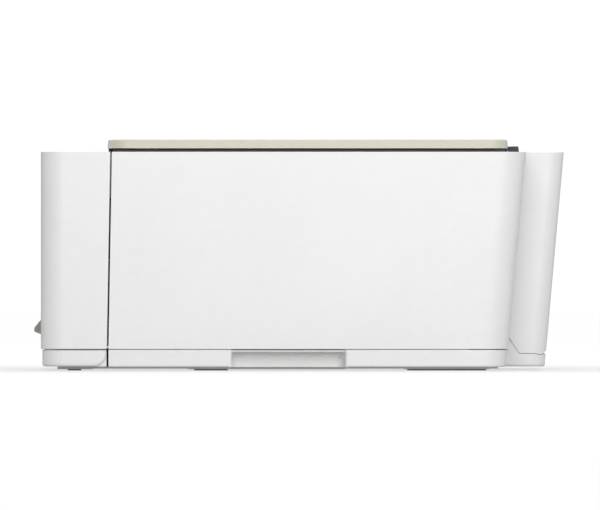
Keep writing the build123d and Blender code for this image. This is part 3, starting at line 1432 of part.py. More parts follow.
inlet_rear_y = casing_rear_y(inlet_z) - 1.2
port_rear_y = casing_rear_y(port_z) - 1.2
pin_recess = 6.0
inlet_depth = 12.0
inlet_mouth = (17.0, 9.5)
port_depth = 9.0
port_wall = 1.5
with BuildPart() as rear_sockets:
    # power inlet with two contact pins
    inlet_y = (chassis_rear_y - 5, inlet_rear_y)
    block(about(inlet_x, inlet_half_width), inlet_y, about(inlet_z, inlet_half_height))
    socket_plane = Plane(origin=(inlet_x, inlet_rear_y, inlet_z), x_dir=(1, 0, 0), z_dir=(0, -1, 0))
    with BuildSketch(socket_plane) as socket:
        SlotOverall(*inlet_mouth)
    extrude(socket.sketch, amount=inlet_depth, mode=Mode.SUBTRACT)
    for x in about(inlet_x, 4):
        rod_y(x, (inlet_rear_y - inlet_depth - 1, inlet_rear_y - pin_recess), inlet_z, 1.2)
    # data port with its tongue
    port_right = port_left + port_width
    block((port_left, port_right), (chassis_rear_y, port_rear_y), about(port_z, port_half_height))
    port_mouth = (port_left + port_wall, port_right - port_wall)
    mouth_y = (port_rear_y - port_depth, port_rear_y + 1)
    block(port_mouth, mouth_y, about(port_z, port_half_height - 1.8), Mode.SUBTRACT)
    tongue = (port_mouth[0] + 2, port_mouth[1] - 2)
    block(tongue, (port_rear_y - port_depth - 1, port_rear_y - 1.5), about(port_z, 1.5))
save(rear_sockets, "rear_sockets")
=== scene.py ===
"""Looks of a compact office printer with a flatbed scanner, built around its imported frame.

Everything is in metres, in the frame's own axes: +X to the right seen from the front,
+Y towards the rear, +Z up, with the origin on the ground under the middle of the machine.
"""

import json
import logging
import math
from dataclasses import dataclass, field
from enum import Enum
from functools import cached_property

import bmesh
import bpy
from mathutils import Matrix, Vector


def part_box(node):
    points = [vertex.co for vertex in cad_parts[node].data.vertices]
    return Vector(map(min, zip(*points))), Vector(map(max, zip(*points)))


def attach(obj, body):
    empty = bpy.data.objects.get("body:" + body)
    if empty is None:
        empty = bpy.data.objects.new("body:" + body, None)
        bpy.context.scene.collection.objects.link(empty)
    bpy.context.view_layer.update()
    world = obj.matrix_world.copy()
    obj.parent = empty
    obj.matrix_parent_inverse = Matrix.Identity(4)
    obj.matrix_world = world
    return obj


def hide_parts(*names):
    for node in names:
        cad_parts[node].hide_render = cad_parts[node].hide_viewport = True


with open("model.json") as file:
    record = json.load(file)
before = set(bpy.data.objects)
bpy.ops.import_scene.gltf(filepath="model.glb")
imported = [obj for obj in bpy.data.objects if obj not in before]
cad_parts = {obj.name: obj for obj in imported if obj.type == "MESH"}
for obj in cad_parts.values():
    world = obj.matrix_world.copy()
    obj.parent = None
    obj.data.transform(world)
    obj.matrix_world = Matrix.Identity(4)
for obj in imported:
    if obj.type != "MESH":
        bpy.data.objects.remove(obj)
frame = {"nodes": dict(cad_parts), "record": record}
log = logging.getLogger("printer")

MM = 0.001
Colour = tuple[float, float, float]
Span = tuple[float, float]
NodeFinishes = dict[str, "Finish"]


class Term:
    """A number or socket in a material's node tree, with arithmetic that adds Math nodes."""

    def __init__(self, tree: "Tree", socket: bpy.types.NodeSocket) -> None:
        """Wrap one output socket of a tree."""
        self.tree = tree
        self.socket = socket

    def math(self, operation: str, *others: "Term | float",
             first: "Term | float | None" = None) -> "Term":
        """Add one Math node.

        Args:
            operation: The Math node's operation.
            others: The values that follow the first one.
            first: What takes this term's place as the first value; this term then comes second.

        Returns:
            The node's result.
        """
        values = [self, *others] if first is None else [first, self, *others]
        names = ("Value", "Value_001", "Value_002")
        return self.tree.term("ShaderNodeMath", {"operation": operation}, dict(zip(names, values)))

    def __add__(self, other: "Term | float") -> "Term":
        """Sum."""
        return self.math("ADD", other)

    __radd__ = __add__

    def __mul__(self, other: "Term | float") -> "Term":
        """Product."""
        return self.math("MULTIPLY", other)

    __rmul__ = __mul__

    def __sub__(self, other: "Term | float") -> "Term":
        """Difference."""
        return self.math("SUBTRACT", other)

    def __rsub__(self, other: float) -> "Term":
        """A number less this term."""
        return self.math("SUBTRACT", first=other)

    def __truediv__(self, other: "Term | float") -> "Term":
        """Quotient."""
        return self.math("DIVIDE", other)

    def __pow__(self, other: float) -> "Term":
        """Power."""
        return self.math("POWER", other)

    def __gt__(self, other: "Term | float") -> "Term":
        """1 where this term is the greater, else 0."""
        return self.math("GREATER_THAN", other)

    def __lt__(self, other: "Term | float") -> "Term":
        """1 where this term is the smaller, else 0."""
        return self.math("LESS_THAN", other)

    def step(self, low: float, high: float) -> "Term":
        """Smooth step from 0 at low to 1 at high."""
        spans = {"Value": self, "From Min": low, "From Max": high}
        settings = {"interpolation_type": "SMOOTHSTEP"}
        return self.tree.term("ShaderNodeMapRange", settings, spans)

    def within(self, low: float, high: float) -> "Term":
        """1 between two limits, else 0."""
        return (self > low) * (self < high)


class Tree:
    """The node tree of a material or of the world."""

    def __init__(self, holder: bpy.types.Material | bpy.types.World) -> None:
        """Empty the holder's tree and start it afresh."""
        self.holder = holder
        holder.use_nodes = True
        self.nodes = holder.node_tree.nodes
        self.links = holder.node_tree.links
        self.nodes.clear()

    @classmethod
    def material(cls, name: str) -> "Tree":
        """The tree of a new material."""
        return cls(bpy.data.materials.new(name))

    @cached_property
    def place(self) -> Term:
        """The place on the piece, in its object's coordinates."""
        return self.term("ShaderNodeTexCoord", output="Object")

    @cached_property
    def axes(self) -> tuple[Term, Term, Term]:
        """The place along each axis, in mm."""
        split = self.node("ShaderNodeSeparateXYZ", None, {"Vector": self.place})
        return tuple(Term(self, split.outputs[i]) / MM for i in range(3))

    def node(self, kind: str, settings: dict | None = None, inputs: dict | None = None) -> bpy.types.Node:
        """Add a node.

        Args:
            kind: The node's type.
            settings: Its properties, which are set first.
            inputs: Values, terms or sockets by the input's identifier.

        Returns:
            The node.
        """
        made = self.nodes.new(kind)
        for key, value in (settings or {}).items():
            setattr(made, key, value)
        for key, value in (inputs or {}).items():
            socket = next(s for s in made.inputs if s.identifier == key)
            if isinstance(value, Term):
                self.links.new(value.socket, socket)
            else:
                socket.default_value = value
        return made

    def term(self, kind: str, settings: dict | None = None, inputs: dict | None = None,
             output: str | int = 0) -> Term:
        """Add a node and wrap one of its outputs.

        Args:
            kind: The node's type.
            settings: Its properties.
            inputs: Its inputs by identifier.
            output: The output's name or number.

        Returns:
            The wrapped output.
        """
        return Term(self, self.node(kind, settings, inputs).outputs[output])

    def stretched(self, scale: Colour) -> Term:
        """The place, scaled by its own factor along each axis."""
        return self.term("ShaderNodeVectorMath", {"operation": "MULTIPLY"},
                         {"Vector": self.place, "Vector_001": scale})

    def noise(self, spacing: float, detail: float = 2.0, place: Term | None = None,
              roughness: float = 0.5) -> Term:
        """Smooth noise from about 0.3 to 0.7.

        Args:
            spacing: The pattern's pitch in mm.
            detail: The number of finer layers.
            place: Where it is read, or None for the place on the piece.
            roughness: The weight of the finer layers.

        Returns:
            The noise.
        """
        return self.term("ShaderNodeTexNoise", None, {
            "Vector": place or self.place, "Scale": 1.0 / (spacing * MM), "Detail": detail,
            "Roughness": roughness})

    def cells(self, spacing: float) -> Term:
        """Distance to the nearest cell point, for cells of a pitch in mm."""
        return self.term("ShaderNodeTexVoronoi", {"feature": "F1"},
                         {"Vector": self.place, "Scale": 1.0 / (spacing * MM)}, "Distance")

    def edges(self, radius: float) -> Term:
        """1 close to the piece's edges and 0 away from them, within a radius in mm."""
        soft = self.term("ShaderNodeBevel", {"samples": 4}, {"Radius": radius * MM})
        hard = self.term("ShaderNodeNewGeometry", output="Normal")
        turn = self.term("ShaderNodeVectorMath", {"operation": "DOT_PRODUCT"},
                         {"Vector": soft, "Vector_001": hard}, "Value")
        return (1.0 - turn).step(0.01, 0.25)

    def facing_up(self) -> Term:
        """How far the surface faces up, from 0 to 1."""
        normal = self.term("ShaderNodeNewGeometry", output="Normal")
        split = self.node("ShaderNodeSeparateXYZ", None, {"Vector": normal})
        return Term(self, split.outputs[2]).step(0.2, 0.95)

    def mix(self, low: "Term | Colour", high: "Term | Colour", share: "Term | float") -> Term:
        """Mix two colours.

        Args:
            low: The colour where share is 0.
            high: The colour where share is 1.
            share: How much of the second colour there is.

        Returns:
            The mixed colour.
        """
        pick = [c if isinstance(c, Term) else (*c, 1.0) for c in (low, high)]
        return self.term("ShaderNodeMix", {"data_type": "RGBA"},
                         {"Factor_Float": share, "A_Color": pick[0], "B_Color": pick[1]}, 2)

    def bump(self, height: Term, depth: float, under: Term | None = None) -> Term:
        """A normal from a height field.

        Args:
            height: The height, from 0 to 1.
            depth: The height of 1, in mm.
            under: A normal that this one adds to.

        Returns:
            The normal.
        """
        inputs = {"Height": height, "Distance": depth * MM, "Strength": 1.0}
        if under is not None:
            inputs["Normal"] = under
        return self.term("ShaderNodeBump", None, inputs)

    def finish(self, **inputs: "Term | float | tuple") -> bpy.types.Material:
        """Close a material's tree with a principled shader.

        Args:
            inputs: The shader's inputs, by name with underscores for spaces.

        Returns:
            The material.
        """
        named = {key.replace("_", " "): value for key, value in inputs.items()}
        shader = self.term("ShaderNodeBsdfPrincipled", None, named)
        self.node("ShaderNodeOutputMaterial", None, {"Surface": shader})
        return self.holder


def shade(colour: Colour, factor: float) -> Colour:
    """A colour made lighter or darker by a factor."""
    return tuple(min(1.0, c * factor) for c in colour)


DUST = (0.42, 0.39, 0.34)
STEEL = (0.60, 0.60, 0.61)
BRASS = (0.62, 0.44, 0.16)
GEAR = (0.74, 0.72, 0.66)
BLACK = (0.03, 0.03, 0.032)
OPEN_LOW, OPEN_HIGH = -1.0, 1000.0


@dataclass(frozen=True)
class Zone:
    """Part of a piece with a tone of its own, between limits in mm or round an axis."""

    colour: Colour
    roughness: float = 0.4
    metallic: float = 0.0
    x: Span | None = None
    y: Span | None = None
    z: Span | None = None
    axis: str = ""
    centre: Span = (0.0, 0.0)
    radii: Span = (0.0, 0.0)

    def mask(self, tree: Tree) -> Term:
        """1 inside the zone and 0 outside it."""
        x, y, z = tree.axes
        parts = [place.within(*span) for place, span in ((x, self.x), (y, self.y), (z, self.z)) if span]
        if self.axis:
            first, second = {"x": (y, z), "y": (x, z), "z": (x, y)}[self.axis]
            across, along = first - self.centre[0], second - self.centre[1]
            parts.append(((across * across + along * along) ** 0.5).within(*self.radii))
        mask = parts[0]
        for part in parts[1:]:
            mask = mask * part
        return mask


@dataclass(frozen=True)
class Moulded:
    """Moulded plastic: fine spark grain, slow tone drift, edges lightened partly as rubbed wear and partly
    as a painted highlight, and settled dust.
    """

    name: str
    colour: Colour
    roughness: float = 0.42
    grain: float = 0.55
    grain_depth: float = 0.012
    drift: float = 0.03
    drift_pitch: float = 90.0
    mottle_pitch: float = 7.0
    # How much lighter the edges are: partly rubbed wear, partly a painted highlight.
    worn: float = 1.05
    wear_pitch: float = 4.0
    edge: float = 0.7
    dust: float = 0.05
    dust_pitch: float = 22.0
    scuff_pitch: float = 1.6
    metallic: float = 0.0
    zones: tuple[Zone, ...] = ()

    def make(self) -> bpy.types.Material:
        """Build the material."""
        tree = Tree.material(self.name)
        slow = tree.noise(self.drift_pitch, 3.0)
        mottle = tree.noise(self.mottle_pitch, 2.0)
        base = tree.mix(shade(self.colour, 1 - self.drift), shade(self.colour, 1 + self.drift),
                        (slow * 0.7 + mottle * 0.3).step(0.35, 0.65))
        # Edge lightening: partly rubbed wear, partly a painted highlight where a rounded edge would catch
        # the light.
        rub_and_highlight = tree.edges(self.edge) * tree.noise(self.wear_pitch, 3.0).step(0.35, 0.6)
        base = tree.mix(base, shade(self.colour, self.worn), rub_and_highlight * 0.7)
        patches = tree.noise(self.dust_pitch, 4.0).step(0.42, 0.68)
        base = tree.mix(base, DUST, tree.facing_up() * patches * self.dust)
        along = tree.stretched((1.0, 0.18, 1.0))
        scuffs = tree.noise(self.scuff_pitch, 2.0, along).step(0.62, 0.72)
        rough = self.roughness + (mottle - 0.5) * 0.10 - rub_and_highlight * 0.08 + scuffs * 0.05
        metal = self.metallic
        for zone in self.zones:
            inside = zone.mask(tree)
            tone = tree.mix(shade(zone.colour, 0.92), shade(zone.colour, 1.08), mottle.step(0.4, 0.6))
            base = tree.mix(base, tone, inside)
            rough = rough + (zone.roughness - self.roughness) * inside
            if zone.metallic != self.metallic:
                metal = metal + (zone.metallic - self.metallic) * inside
        normal = tree.bump(tree.noise(self.grain, 2.0, roughness=0.6), self.grain_depth)
        return tree.finish(Base_Color=base, Roughness=rough, Metallic=metal, Normal=normal)


@dataclass(frozen=True)
class Metal:
    """Metal with drawn lines along one axis, faint stains and edges lightened as a painted highlight."""

    name: str
    colour: Colour
    roughness: float = 0.28
    lines: Colour = (0.05, 1.0, 1.0)
    line_pitch: float = 0.35
    stains: float = 0.12
    stain_pitch: float = 14.0
    line_depth: float = 0.004

    def make(self) -> bpy.types.Material:
        """Build the material."""
        tree = Tree.material(self.name)
        drawn = tree.noise(self.line_pitch, 3.0, tree.stretched(self.lines))
        cloud = tree.noise(self.stain_pitch, 4.0)
        base = tree.mix(self.colour, shade(self.colour, 1 - self.stains), cloud.step(0.4, 0.7))
        # Painted highlight: the edges are lightened where a rounded edge would catch the light.
        base = tree.mix(base, shade(self.colour, 1.2), tree.edges(0.3) * 0.6)
        rough = self.roughness + (drawn - 0.5) * 0.3 + (cloud - 0.5) * 0.15
        return tree.finish(Base_Color=base, Roughness=rough, Metallic=0.95,
                           Normal=tree.bump(drawn, self.line_depth))


@dataclass(frozen=True)
class Rubber:
    """Soft rubber with ground lines, bloom, a matt face and edges lightened as a painted highlight."""

    name: str
    colour: Colour
    roughness: float = 0.75
    bloom: float = 0.18
    bloom_pitch: float = 9.0
    line_pitch: float = 0.3
    line_depth: float = 0.02

    def make(self) -> bpy.types.Material:
        """Build the material."""
        tree = Tree.material(self.name)
        ground = tree.noise(self.line_pitch, 2.0, tree.stretched((0.25, 1.0, 1.0)))
        cloud = tree.noise(self.bloom_pitch, 4.0)
        base = tree.mix(self.colour, tuple(c + self.bloom * (0.55 - c) for c in self.colour),
                        cloud.step(0.4, 0.72))
        # Painted highlight: the edges are lightened where a rounded edge would catch the light.
        base = tree.mix(base, shade(self.colour, 1.5), tree.edges(0.4) * 0.4)
        rough = self.roughness + (cloud - 0.5) * 0.2
        normal = tree.bump(ground, self.line_depth)
        return tree.finish(Base_Color=base, Roughness=rough, Normal=normal)


@dataclass(frozen=True)
class Glass:
    """Float glass with faint smears and a green body tint."""

    name: str
    tint: Colour
    speck: Colour = (0.75, 0.75, 0.72)
    smear_pitch: float = 26.0
    speck_pitch: float = 9.0

    def make(self) -> bpy.types.Material:
        """Build the material."""
        tree = Tree.material(self.name)
        wiped = tree.stretched((1.0, 0.35, 1.0))
        smears = tree.noise(self.smear_pitch, 4.0, wiped).step(0.52, 0.75)
        clear = tree.cells(self.speck_pitch).step(0.0, 0.05)
        base = tree.mix(self.speck, self.tint, clear)
        rough = 0.02 + smears * 0.10
        return tree.finish(Base_Color=base, Roughness=rough, Transmission_Weight=0.93, IOR=1.52)


@dataclass(frozen=True)
class Gloss:
    """High-gloss window with fingerprints and hairlines."""

    name: str
    colour: Colour
    zones: tuple[Zone, ...] = ()
    print_pitch: float = 11.0
    hair_pitch: float = 0.5
    haze: Colour = (0.10, 0.10, 0.11)

    def make(self) -> bpy.types.Material:
        """Build the material."""
        tree = Tree.material(self.name)
        prints = tree.noise(self.print_pitch, 5.0).step(0.5, 0.75)
        wiped = tree.stretched((0.04, 1.0, 1.0))
        hair = tree.noise(self.hair_pitch, 1.0, wiped).step(0.66, 0.74)
        base = self.colour
        for zone in self.zones:
            base = tree.mix(base, zone.colour, zone.mask(tree))
        base = tree.mix(base, self.haze, prints * 0.12 + hair * 0.1)
        return tree.finish(Base_Color=base, Roughness=0.05 + prints * 0.16 + hair * 0.08,
                           Coat_Weight=0.6, Coat_Roughness=0.03)


@dataclass(frozen=True)
class Film:
    """White film over foam: soft dimples, fine cells, faint yellowing and a slight sheen."""

    name: str
    colour: Colour
    yellowed: Colour = (0.62, 0.60, 0.55)
    yellow_pitch: float = 45.0
    foam_pitch: float = 3.2
    foam_depth: float = 0.05
    cell_pitch: float = 0.8
    cell_depth: float = 0.008

    def make(self) -> bpy.types.Material:
        """Build the material."""
        tree = Tree.material(self.name)
        foam = tree.noise(self.foam_pitch, 3.0)
        fine = tree.cells(self.cell_pitch)
        base = tree.mix(shade(self.colour, 0.96), self.colour, foam.step(0.35, 0.65))
        aged = tree.noise(self.yellow_pitch, 4.0).step(0.55, 0.8)
        base = tree.mix(base, self.yellowed, aged * 0.12)
        normal = tree.bump(fine, self.cell_depth, tree.bump(foam, self.foam_depth))
        return tree.finish(Base_Color=base, Roughness=0.42 + (foam - 0.5) * 0.2, Normal=normal,
                           Sheen_Weight=0.08)


class Shade(Enum):
    """The machine's finishes, by the record's slots."""

    shell_white = Moulded("shell_white", (0.87, 0.87, 0.862), roughness=0.31, drift=0.014)
    lid_beige = Moulded("lid_beige", (0.63, 0.605, 0.51), roughness=0.40, dust=0.03)
    button_grey = Moulded("button_grey", (0.50, 0.51, 0.52), roughness=0.5, grain=0.35)
    trim_dark = Moulded("trim_dark", (0.025, 0.025, 0.028), roughness=0.48, worn=1.8, dust=0.1)
    chassis_grey = Moulded("chassis_grey", (0.085, 0.088, 0.09), roughness=0.55, worn=1.5)
    gear_white = Moulded("gear_white", (0.74, 0.72, 0.66), roughness=0.38, grain_depth=0.004)
    board_green = Moulded("board_green", (0.01, 0.11, 0.035), roughness=0.35)
    ink_black = Moulded("ink_black", (0.016, 0.016, 0.018), roughness=0.4, worn=2.0)
    ink_color = Moulded("ink_color", (0.05, 0.06, 0.075), roughness=0.4, worn=1.8)
    steel = Metal("steel", (0.62, 0.62, 0.63))
    rail_sheet = Metal("rail_sheet", (0.66, 0.67, 0.68), 0.36, (0.12, 1.0, 1.0), 0.8, 0.2)
    roller_rubber = Rubber("roller_rubber", (0.018, 0.018, 0.018))
    foot_rubber = Rubber("foot_rubber", (0.17, 0.17, 0.17))
    glass = Glass("glass", (0.93, 0.98, 0.96))
    display_black = Gloss("display_black", (0.006, 0.006, 0.008))
    pad_white = Film("pad_white", (0.82, 0.82, 0.79))


Finish = Moulded | Metal | Rubber | Glass | Gloss | Film


def middle(node: str) -> Vector:
    """The middle of a node's box, in mm."""
    low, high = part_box(node)
    return (low + high) / 2 / MM


def top(node: str) -> float:
    """The height of a node's upper face, in mm."""
    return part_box(node)[1].z / MM


def ends(node: str) -> tuple[Vector, Vector]:
    """The lowest and highest corners of a node's box, in mm."""
    low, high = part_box(node)
    return low / MM, high / MM


@dataclass
class Finishes:
    """Gives every node of the frame and every new piece its finish."""

    made: dict[str, bpy.types.Material] = field(default_factory=dict)

    def dress(self, piece: bpy.types.Object, finish: Finish) -> None:
        """Give a piece one finish all over; a finish is made on its first use."""
        if finish.name not in self.made:
            self.made[finish.name] = finish.make()
        piece.data.materials.clear()
        piece.data.materials.append(self.made[finish.name])

    def dress_frame(self, own: NodeFinishes) -> None:
        """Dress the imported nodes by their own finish, or else by the record's slots."""
        for part in frame["record"]["subparts"]:
            node = part["node"]
            finish = own.get(node) or Shade[part["material_slot"]].value
            self.dress(frame["nodes"][node], finish)
            log.info("dressed %s in %s", node, finish.name)


@dataclass
class Piece:
    """One new mesh piece, built with bmesh operators in metres."""

    name: str
    finish: Finish
    body: str
    bm: bmesh.types.BMesh = field(default_factory=bmesh.new)

    def turned(self, profile: list[Span], centre: Vector, steps: int = 40) -> None:
        """Add a turned solid about Z.

        Args:
            profile: Radius and height of each point in mm, from the axis and back to it.
            centre: The foot of the axis in mm.
            steps: The number of flats in the turn.
        """
        verts = [self.bm.verts.new((centre + Vector((radius, 0, height))) * MM)
                 for radius, height in profile]
        edges = [self.bm.edges.new(pair) for pair in zip(verts, verts[1:])]
        bmesh.ops.spin(self.bm, geom=verts + edges, cent=centre * MM, axis=(0, 0, 1), dvec=(0, 0, 0),
                       angle=math.tau, steps=steps, use_merge=True)
        bmesh.ops.remove_doubles(self.bm, verts=self.bm.verts, dist=0.002 * MM)

    def arc(self, centre: Vector, radius: float, width: float, height: float, start: float,
            sweep: float) -> None:
        """Add a curved bar about Z.

        Args:
            centre: The centre of the curve at the bar's foot, in mm.
            radius: The curve's middle radius in mm.
            width: The bar's width in mm.
            height: The bar's height in mm.
            start: The first end's angle in degrees from +X.
            sweep: The angle to the other end in degrees.
        """
        turn = Matrix.Rotation(math.radians(start), 3, "Z")
        section = ((radius - width / 2, 0), (radius + width / 2, 0), (radius + width / 2, height),
                   (radius - width / 2, height))
        face = self.bm.faces.new([self.bm.verts.new((centre + turn @ Vector((r, 0, z))) * MM)
                                  for r, z in section])
        bmesh.ops.spin(self.bm, geom=[face, *face.edges, *face.verts], cent=centre * MM, axis=(0, 0, 1),
                       dvec=(0, 0, 0), angle=math.radians(sweep), steps=max(6, int(abs(sweep) / 8)))

    def plate(self, outline: list[Span], centre: Vector, height: float,
              hole: list[Span] | None = None) -> None:
        """Add a flat plate.

        Args:
            outline: The plate's corners in mm from the centre.
            centre: The middle of the plate's foot in mm.
            height: The plate's thickness in mm.
            hole: The corners of a hole, as many as the outline's.
        """
        rings = []
        for corners_2d in (outline, hole) if hole else (outline,):
            verts = [self.bm.verts.new((centre + Vector((x, y, 0))) * MM) for x, y in corners_2d]
            rings.append([self.bm.edges.new(pair) for pair in zip(verts, verts[1:] + verts[:1])])
        if hole:
            faces = bmesh.ops.bridge_loops(self.bm, edges=rings[0] + rings[1])["faces"]
        else:
            faces = bmesh.ops.contextual_create(self.bm, geom=rings[0])["faces"]
        grown = bmesh.ops.extrude_face_region(self.bm, geom=faces, use_keep_orig=True)["geom"]
        lifted = [item for item in grown if isinstance(item, bmesh.types.BMVert)]
        bmesh.ops.translate(self.bm, vec=(0, 0, height * MM), verts=lifted)

    def done(self, finishes: Finishes) -> bpy.types.Object:
        """Turn the faces outwards, link the piece, dress it and let it ride on its body."""
        bmesh.ops.recalc_face_normals(self.bm, faces=self.bm.faces)
        mesh = bpy.data.meshes.new(self.name)
        self.bm.to_mesh(mesh)
        self.bm.free()
        made = bpy.data.objects.new(self.name, mesh)
        bpy.context.scene.collection.objects.link(made)
        finishes.dress(made, self.finish)
        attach(made, self.body)
        log.info("built %s with %d faces", self.name, len(mesh.polygons))
        return made


INK = Moulded("symbol_ink", (0.10, 0.105, 0.11), roughness=0.45, grain=0.2, grain_depth=0.003)
LAMP = Gloss("status_lens", (0.12, 0.42, 0.16))
SCREW = Metal("screw_zinc", (0.58, 0.58, 0.57), 0.32, (1.0, 1.0, 1.0), 0.2, 0.25)


class Assembly:
    """A sub-assembly: finishes that its nodes have for themselves, and pieces added to it."""

    def finishes(self) -> NodeFinishes:
        """The nodes' own finishes, by node."""
        return {}

    def build(self, finishes: Finishes) -> None:
        """Model the added pieces."""


@dataclass(frozen=True)
class BackingPad(Assembly):
    """The soft pad under the lid that presses the page on the glass. Sizes in mm."""

    crown: float = 0.5
    edge_round: float = 1.1
    ripple: float = 0.06
    ripples: Span = (23.0, 17.0)
    thinnest: float = 0.5
    columns: int = 60
    rows: int = 44

    def build(self, finishes: Finishes) -> None:
        """Model the pad in its node's place and let it ride on the lid."""
        pad = Piece("backing_pad", Shade.pad_white.value, "lid")
        bm = pad.bm
        bmesh.ops.create_grid(bm, x_segments=self.columns, y_segments=self.rows, size=0.5)
        grown = bmesh.ops.extrude_face_region(bm, geom=bm.faces[:], use_keep_orig=True)["geom"]
        lifted = [item for item in grown if isinstance(item, bmesh.types.BMVert)]
        bmesh.ops.translate(bm, vec=(0, 0, 1), verts=lifted)
        low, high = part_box("lid_backing_pad")
        for vert in bm.verts:
            self.place(vert, low, high)
        made = pad.done(finishes)
        for face in made.data.polygons:
            face.use_smooth = True
        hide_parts("lid_backing_pad")

    def place(self, vert: bmesh.types.BMVert, low: Vector, high: Vector) -> None:
        """Move one point of a unit block to its place on the crowned pad.

        Args:
            vert: The point.
            low: The pad's lowest corner in metres.
            high: The pad's highest corner in metres.
        """
        u, v, lower = vert.co.x * 2, vert.co.y * 2, vert.co.z < 0.5
        size, centre = high - low, (low + high) / 2
        near = min((1 - abs(u)) * size.x, (1 - abs(v)) * size.y) / 2 / MM
        sunk = max(0.0, 1 - near / self.edge_round / 2) ** 2 * self.edge_round
        bulge = (1 - u * u) * (1 - v * v)
        wave = 1 + math.sin(u * self.ripples[0]) * math.sin(v * self.ripples[1])
        depth = sunk + self.crown * (1 - bulge) + self.ripple * wave * bulge
        z = min(low.z + depth * MM, high.z - self.thinnest * MM) if lower else high.z
        vert.co = (centre.x + u * size.x / 2, centre.y + v * size.y / 2, z)


@dataclass(frozen=True)
class ControlPanel(Assembly):
    """The display, the raised signs on the four buttons and the status lamp. Sizes in mm."""

    screen: Span = (36.0, 7.7)
    bezel: float = 0.5
    relief: float = 0.12
    sunk: float = 0.04
    stroke: float = 0.55
    lamp_shift: float = 14.0

    def finishes(self) -> NodeFinishes:
        """The display: a faint bezel round a dark screen."""
        y = middle("display_window").y
        (reach, half), rim = self.screen, self.bezel
        return {"display_window": Gloss("display_finish", (0.006, 0.006, 0.008), zones=(
            Zone((0.05, 0.052, 0.056), x=(-reach - rim, reach + rim),
                 y=(y - half - rim, y + half + rim)),
            Zone((0.014, 0.016, 0.019), x=(-reach, reach), y=(y - half, y + half))))}

    def build(self, finishes: Finishes) -> None:
        """Model every sign and the lamp."""
        self.power(finishes)
        self.wireless(finishes)
        self.copy(finishes)
        self.cancel(finishes)
        self.lamp(finishes)

    def start(self, button: str) -> tuple[Piece, Vector]:
        """An empty sign on a button, and its centre a little below the button's face."""
        centre = middle(button)
        centre.z = top(button) - self.sunk
        return Piece(f"{button}_sign", INK, f"{button}_cap"), centre

    @property
    def height(self) -> float:
        """A sign's height with its sunk foot."""
        return self.relief + self.sunk

    def power(self, finishes: Finishes) -> None:
        """Open ring with a bar in its gap."""
        sign, centre = self.start("power_button")
        sign.arc(centre, 2.3, self.stroke, self.height, 120.0, 300.0)
        half, foot, head = self.stroke / 2, 0.3, 2.9
        sign.plate([(-half, foot), (half, foot), (half, head), (-half, head)], centre, self.height)
        sign.done(finishes)

    def wireless(self, finishes: Finishes) -> None:
        """Dot under three rising arcs."""
        sign, centre = self.start("wireless_button")
        foot = centre - Vector((0, 1.6, 0))
        for radius in (1.3, 2.3, 3.3):
            sign.arc(foot, radius, self.stroke * 0.8, self.height, 48.0, 84.0)
        sign.turned([(0, 0), (0.5, 0), (0.5, self.height), (0, self.height)], foot, 20)
        sign.done(finishes)

    def copy(self, finishes: Finishes) -> None:
        """Two overlapping page outlines."""
        sign, centre = self.start("copy_button")
        wide, tall = 1.3, 1.7
        for shift in (-0.8, 0.8):
            outer = [(shift - wide, -shift - tall), (shift + wide, -shift - tall),
                     (shift + wide, tall - shift), (shift - wide, tall - shift)]
            inner = [(shift + 0.7 * (x - shift), -shift + 0.77 * (y + shift)) for x, y in outer]
            sign.plate(outer, centre + Vector((0, 0, 0.01 * shift)), self.height, inner)
        sign.done(finishes)

    def cancel(self, finishes: Finishes) -> None:
        """Slanting cross."""
        sign, centre = self.start("cancel_button")
        half, reach = self.stroke / 2, 2.2
        arm = [(half, half), (reach, half), (reach, -half)]
        turns = [Matrix.Rotation(math.radians(45 - 90 * quarter), 2) for quarter in range(4)]
        cross = [tuple(turn @ Vector(point)) for turn in turns for point in arm]
        sign.plate(cross, centre, self.height)
        sign.done(finishes)

    def lamp(self, finishes: Finishes) -> None:
        """Small domed lens beside the power button."""
        centre = middle("power_button") + Vector((self.lamp_shift, 0, 0))
        centre.z = top("control_deck") - 0.3
        lens = Piece("status_lamp", LAMP, "base")
        dome = [(1.2, 0.4), (1.05, 0.55), (0.7, 0.7), (0.35, 0.77), (0, 0.8)]
        lens.turned([(0, 0), (1.2, 0), *dome], centre)
        lens.done(finishes)


@dataclass(frozen=True)
class ScannerTop(Assembly):
    """Page-length ticks and the corner mark on the frame round the glass. Sizes in mm."""

    pages: tuple[float, ...] = (148.0, 210.0, 254.0, 279.4, 297.0)
    tick_half: float = 0.3
    tick_span: Span = (-4.2, -1.2)
    tick_depth: float = 0.4
    mark_gap: float = 4.0
    mark_half: float = 1.6
    mark_height: float = 0.16
    mark_sunk: float = 0.04

    def finishes(self) -> NodeFinishes:
        """The dark frame with its light ticks in front of the glass; its warm near-black tone is partly the
        frame's own dark plastic and partly a painted shade of the gap under the lid.
        """
        low, high = ends("platen_glass")
        face = top("scanner_top_frame")
        front = tuple(low.y + reach for reach in self.tick_span)
        ends_x = ((high.x - page - self.tick_half, high.x - page + self.tick_half) for page in self.pages)
        ticks = tuple(Zone((0.62, 0.61, 0.58), 0.5, x=span, y=front,
                           z=(face - self.tick_depth, face + 1.0)) for span in ends_x)
        # Warm near-black: the frame's own dark plastic, tinted as a painted shade of the gap under the lid.
        return {"scanner_top_frame": Moulded("scan_frame_dark_and_painted_shade", (0.026, 0.024, 0.019), roughness=0.5,
                                             dust=0.012, zones=ticks)}

    def build(self, finishes: Finishes) -> None:
        """Model the triangle that shows the corner where a page starts."""
        low, high = ends("platen_glass")
        centre = Vector((high.x + self.mark_gap, low.y - self.mark_gap,
                         top("scanner_top_frame") - self.mark_sunk))
        mark, half = Piece("corner_mark", INK, "base"), self.mark_half
        mark.plate([(-half, half), (-half, -half), (half, -half)], centre, self.mark_height)
        mark.done(finishes)


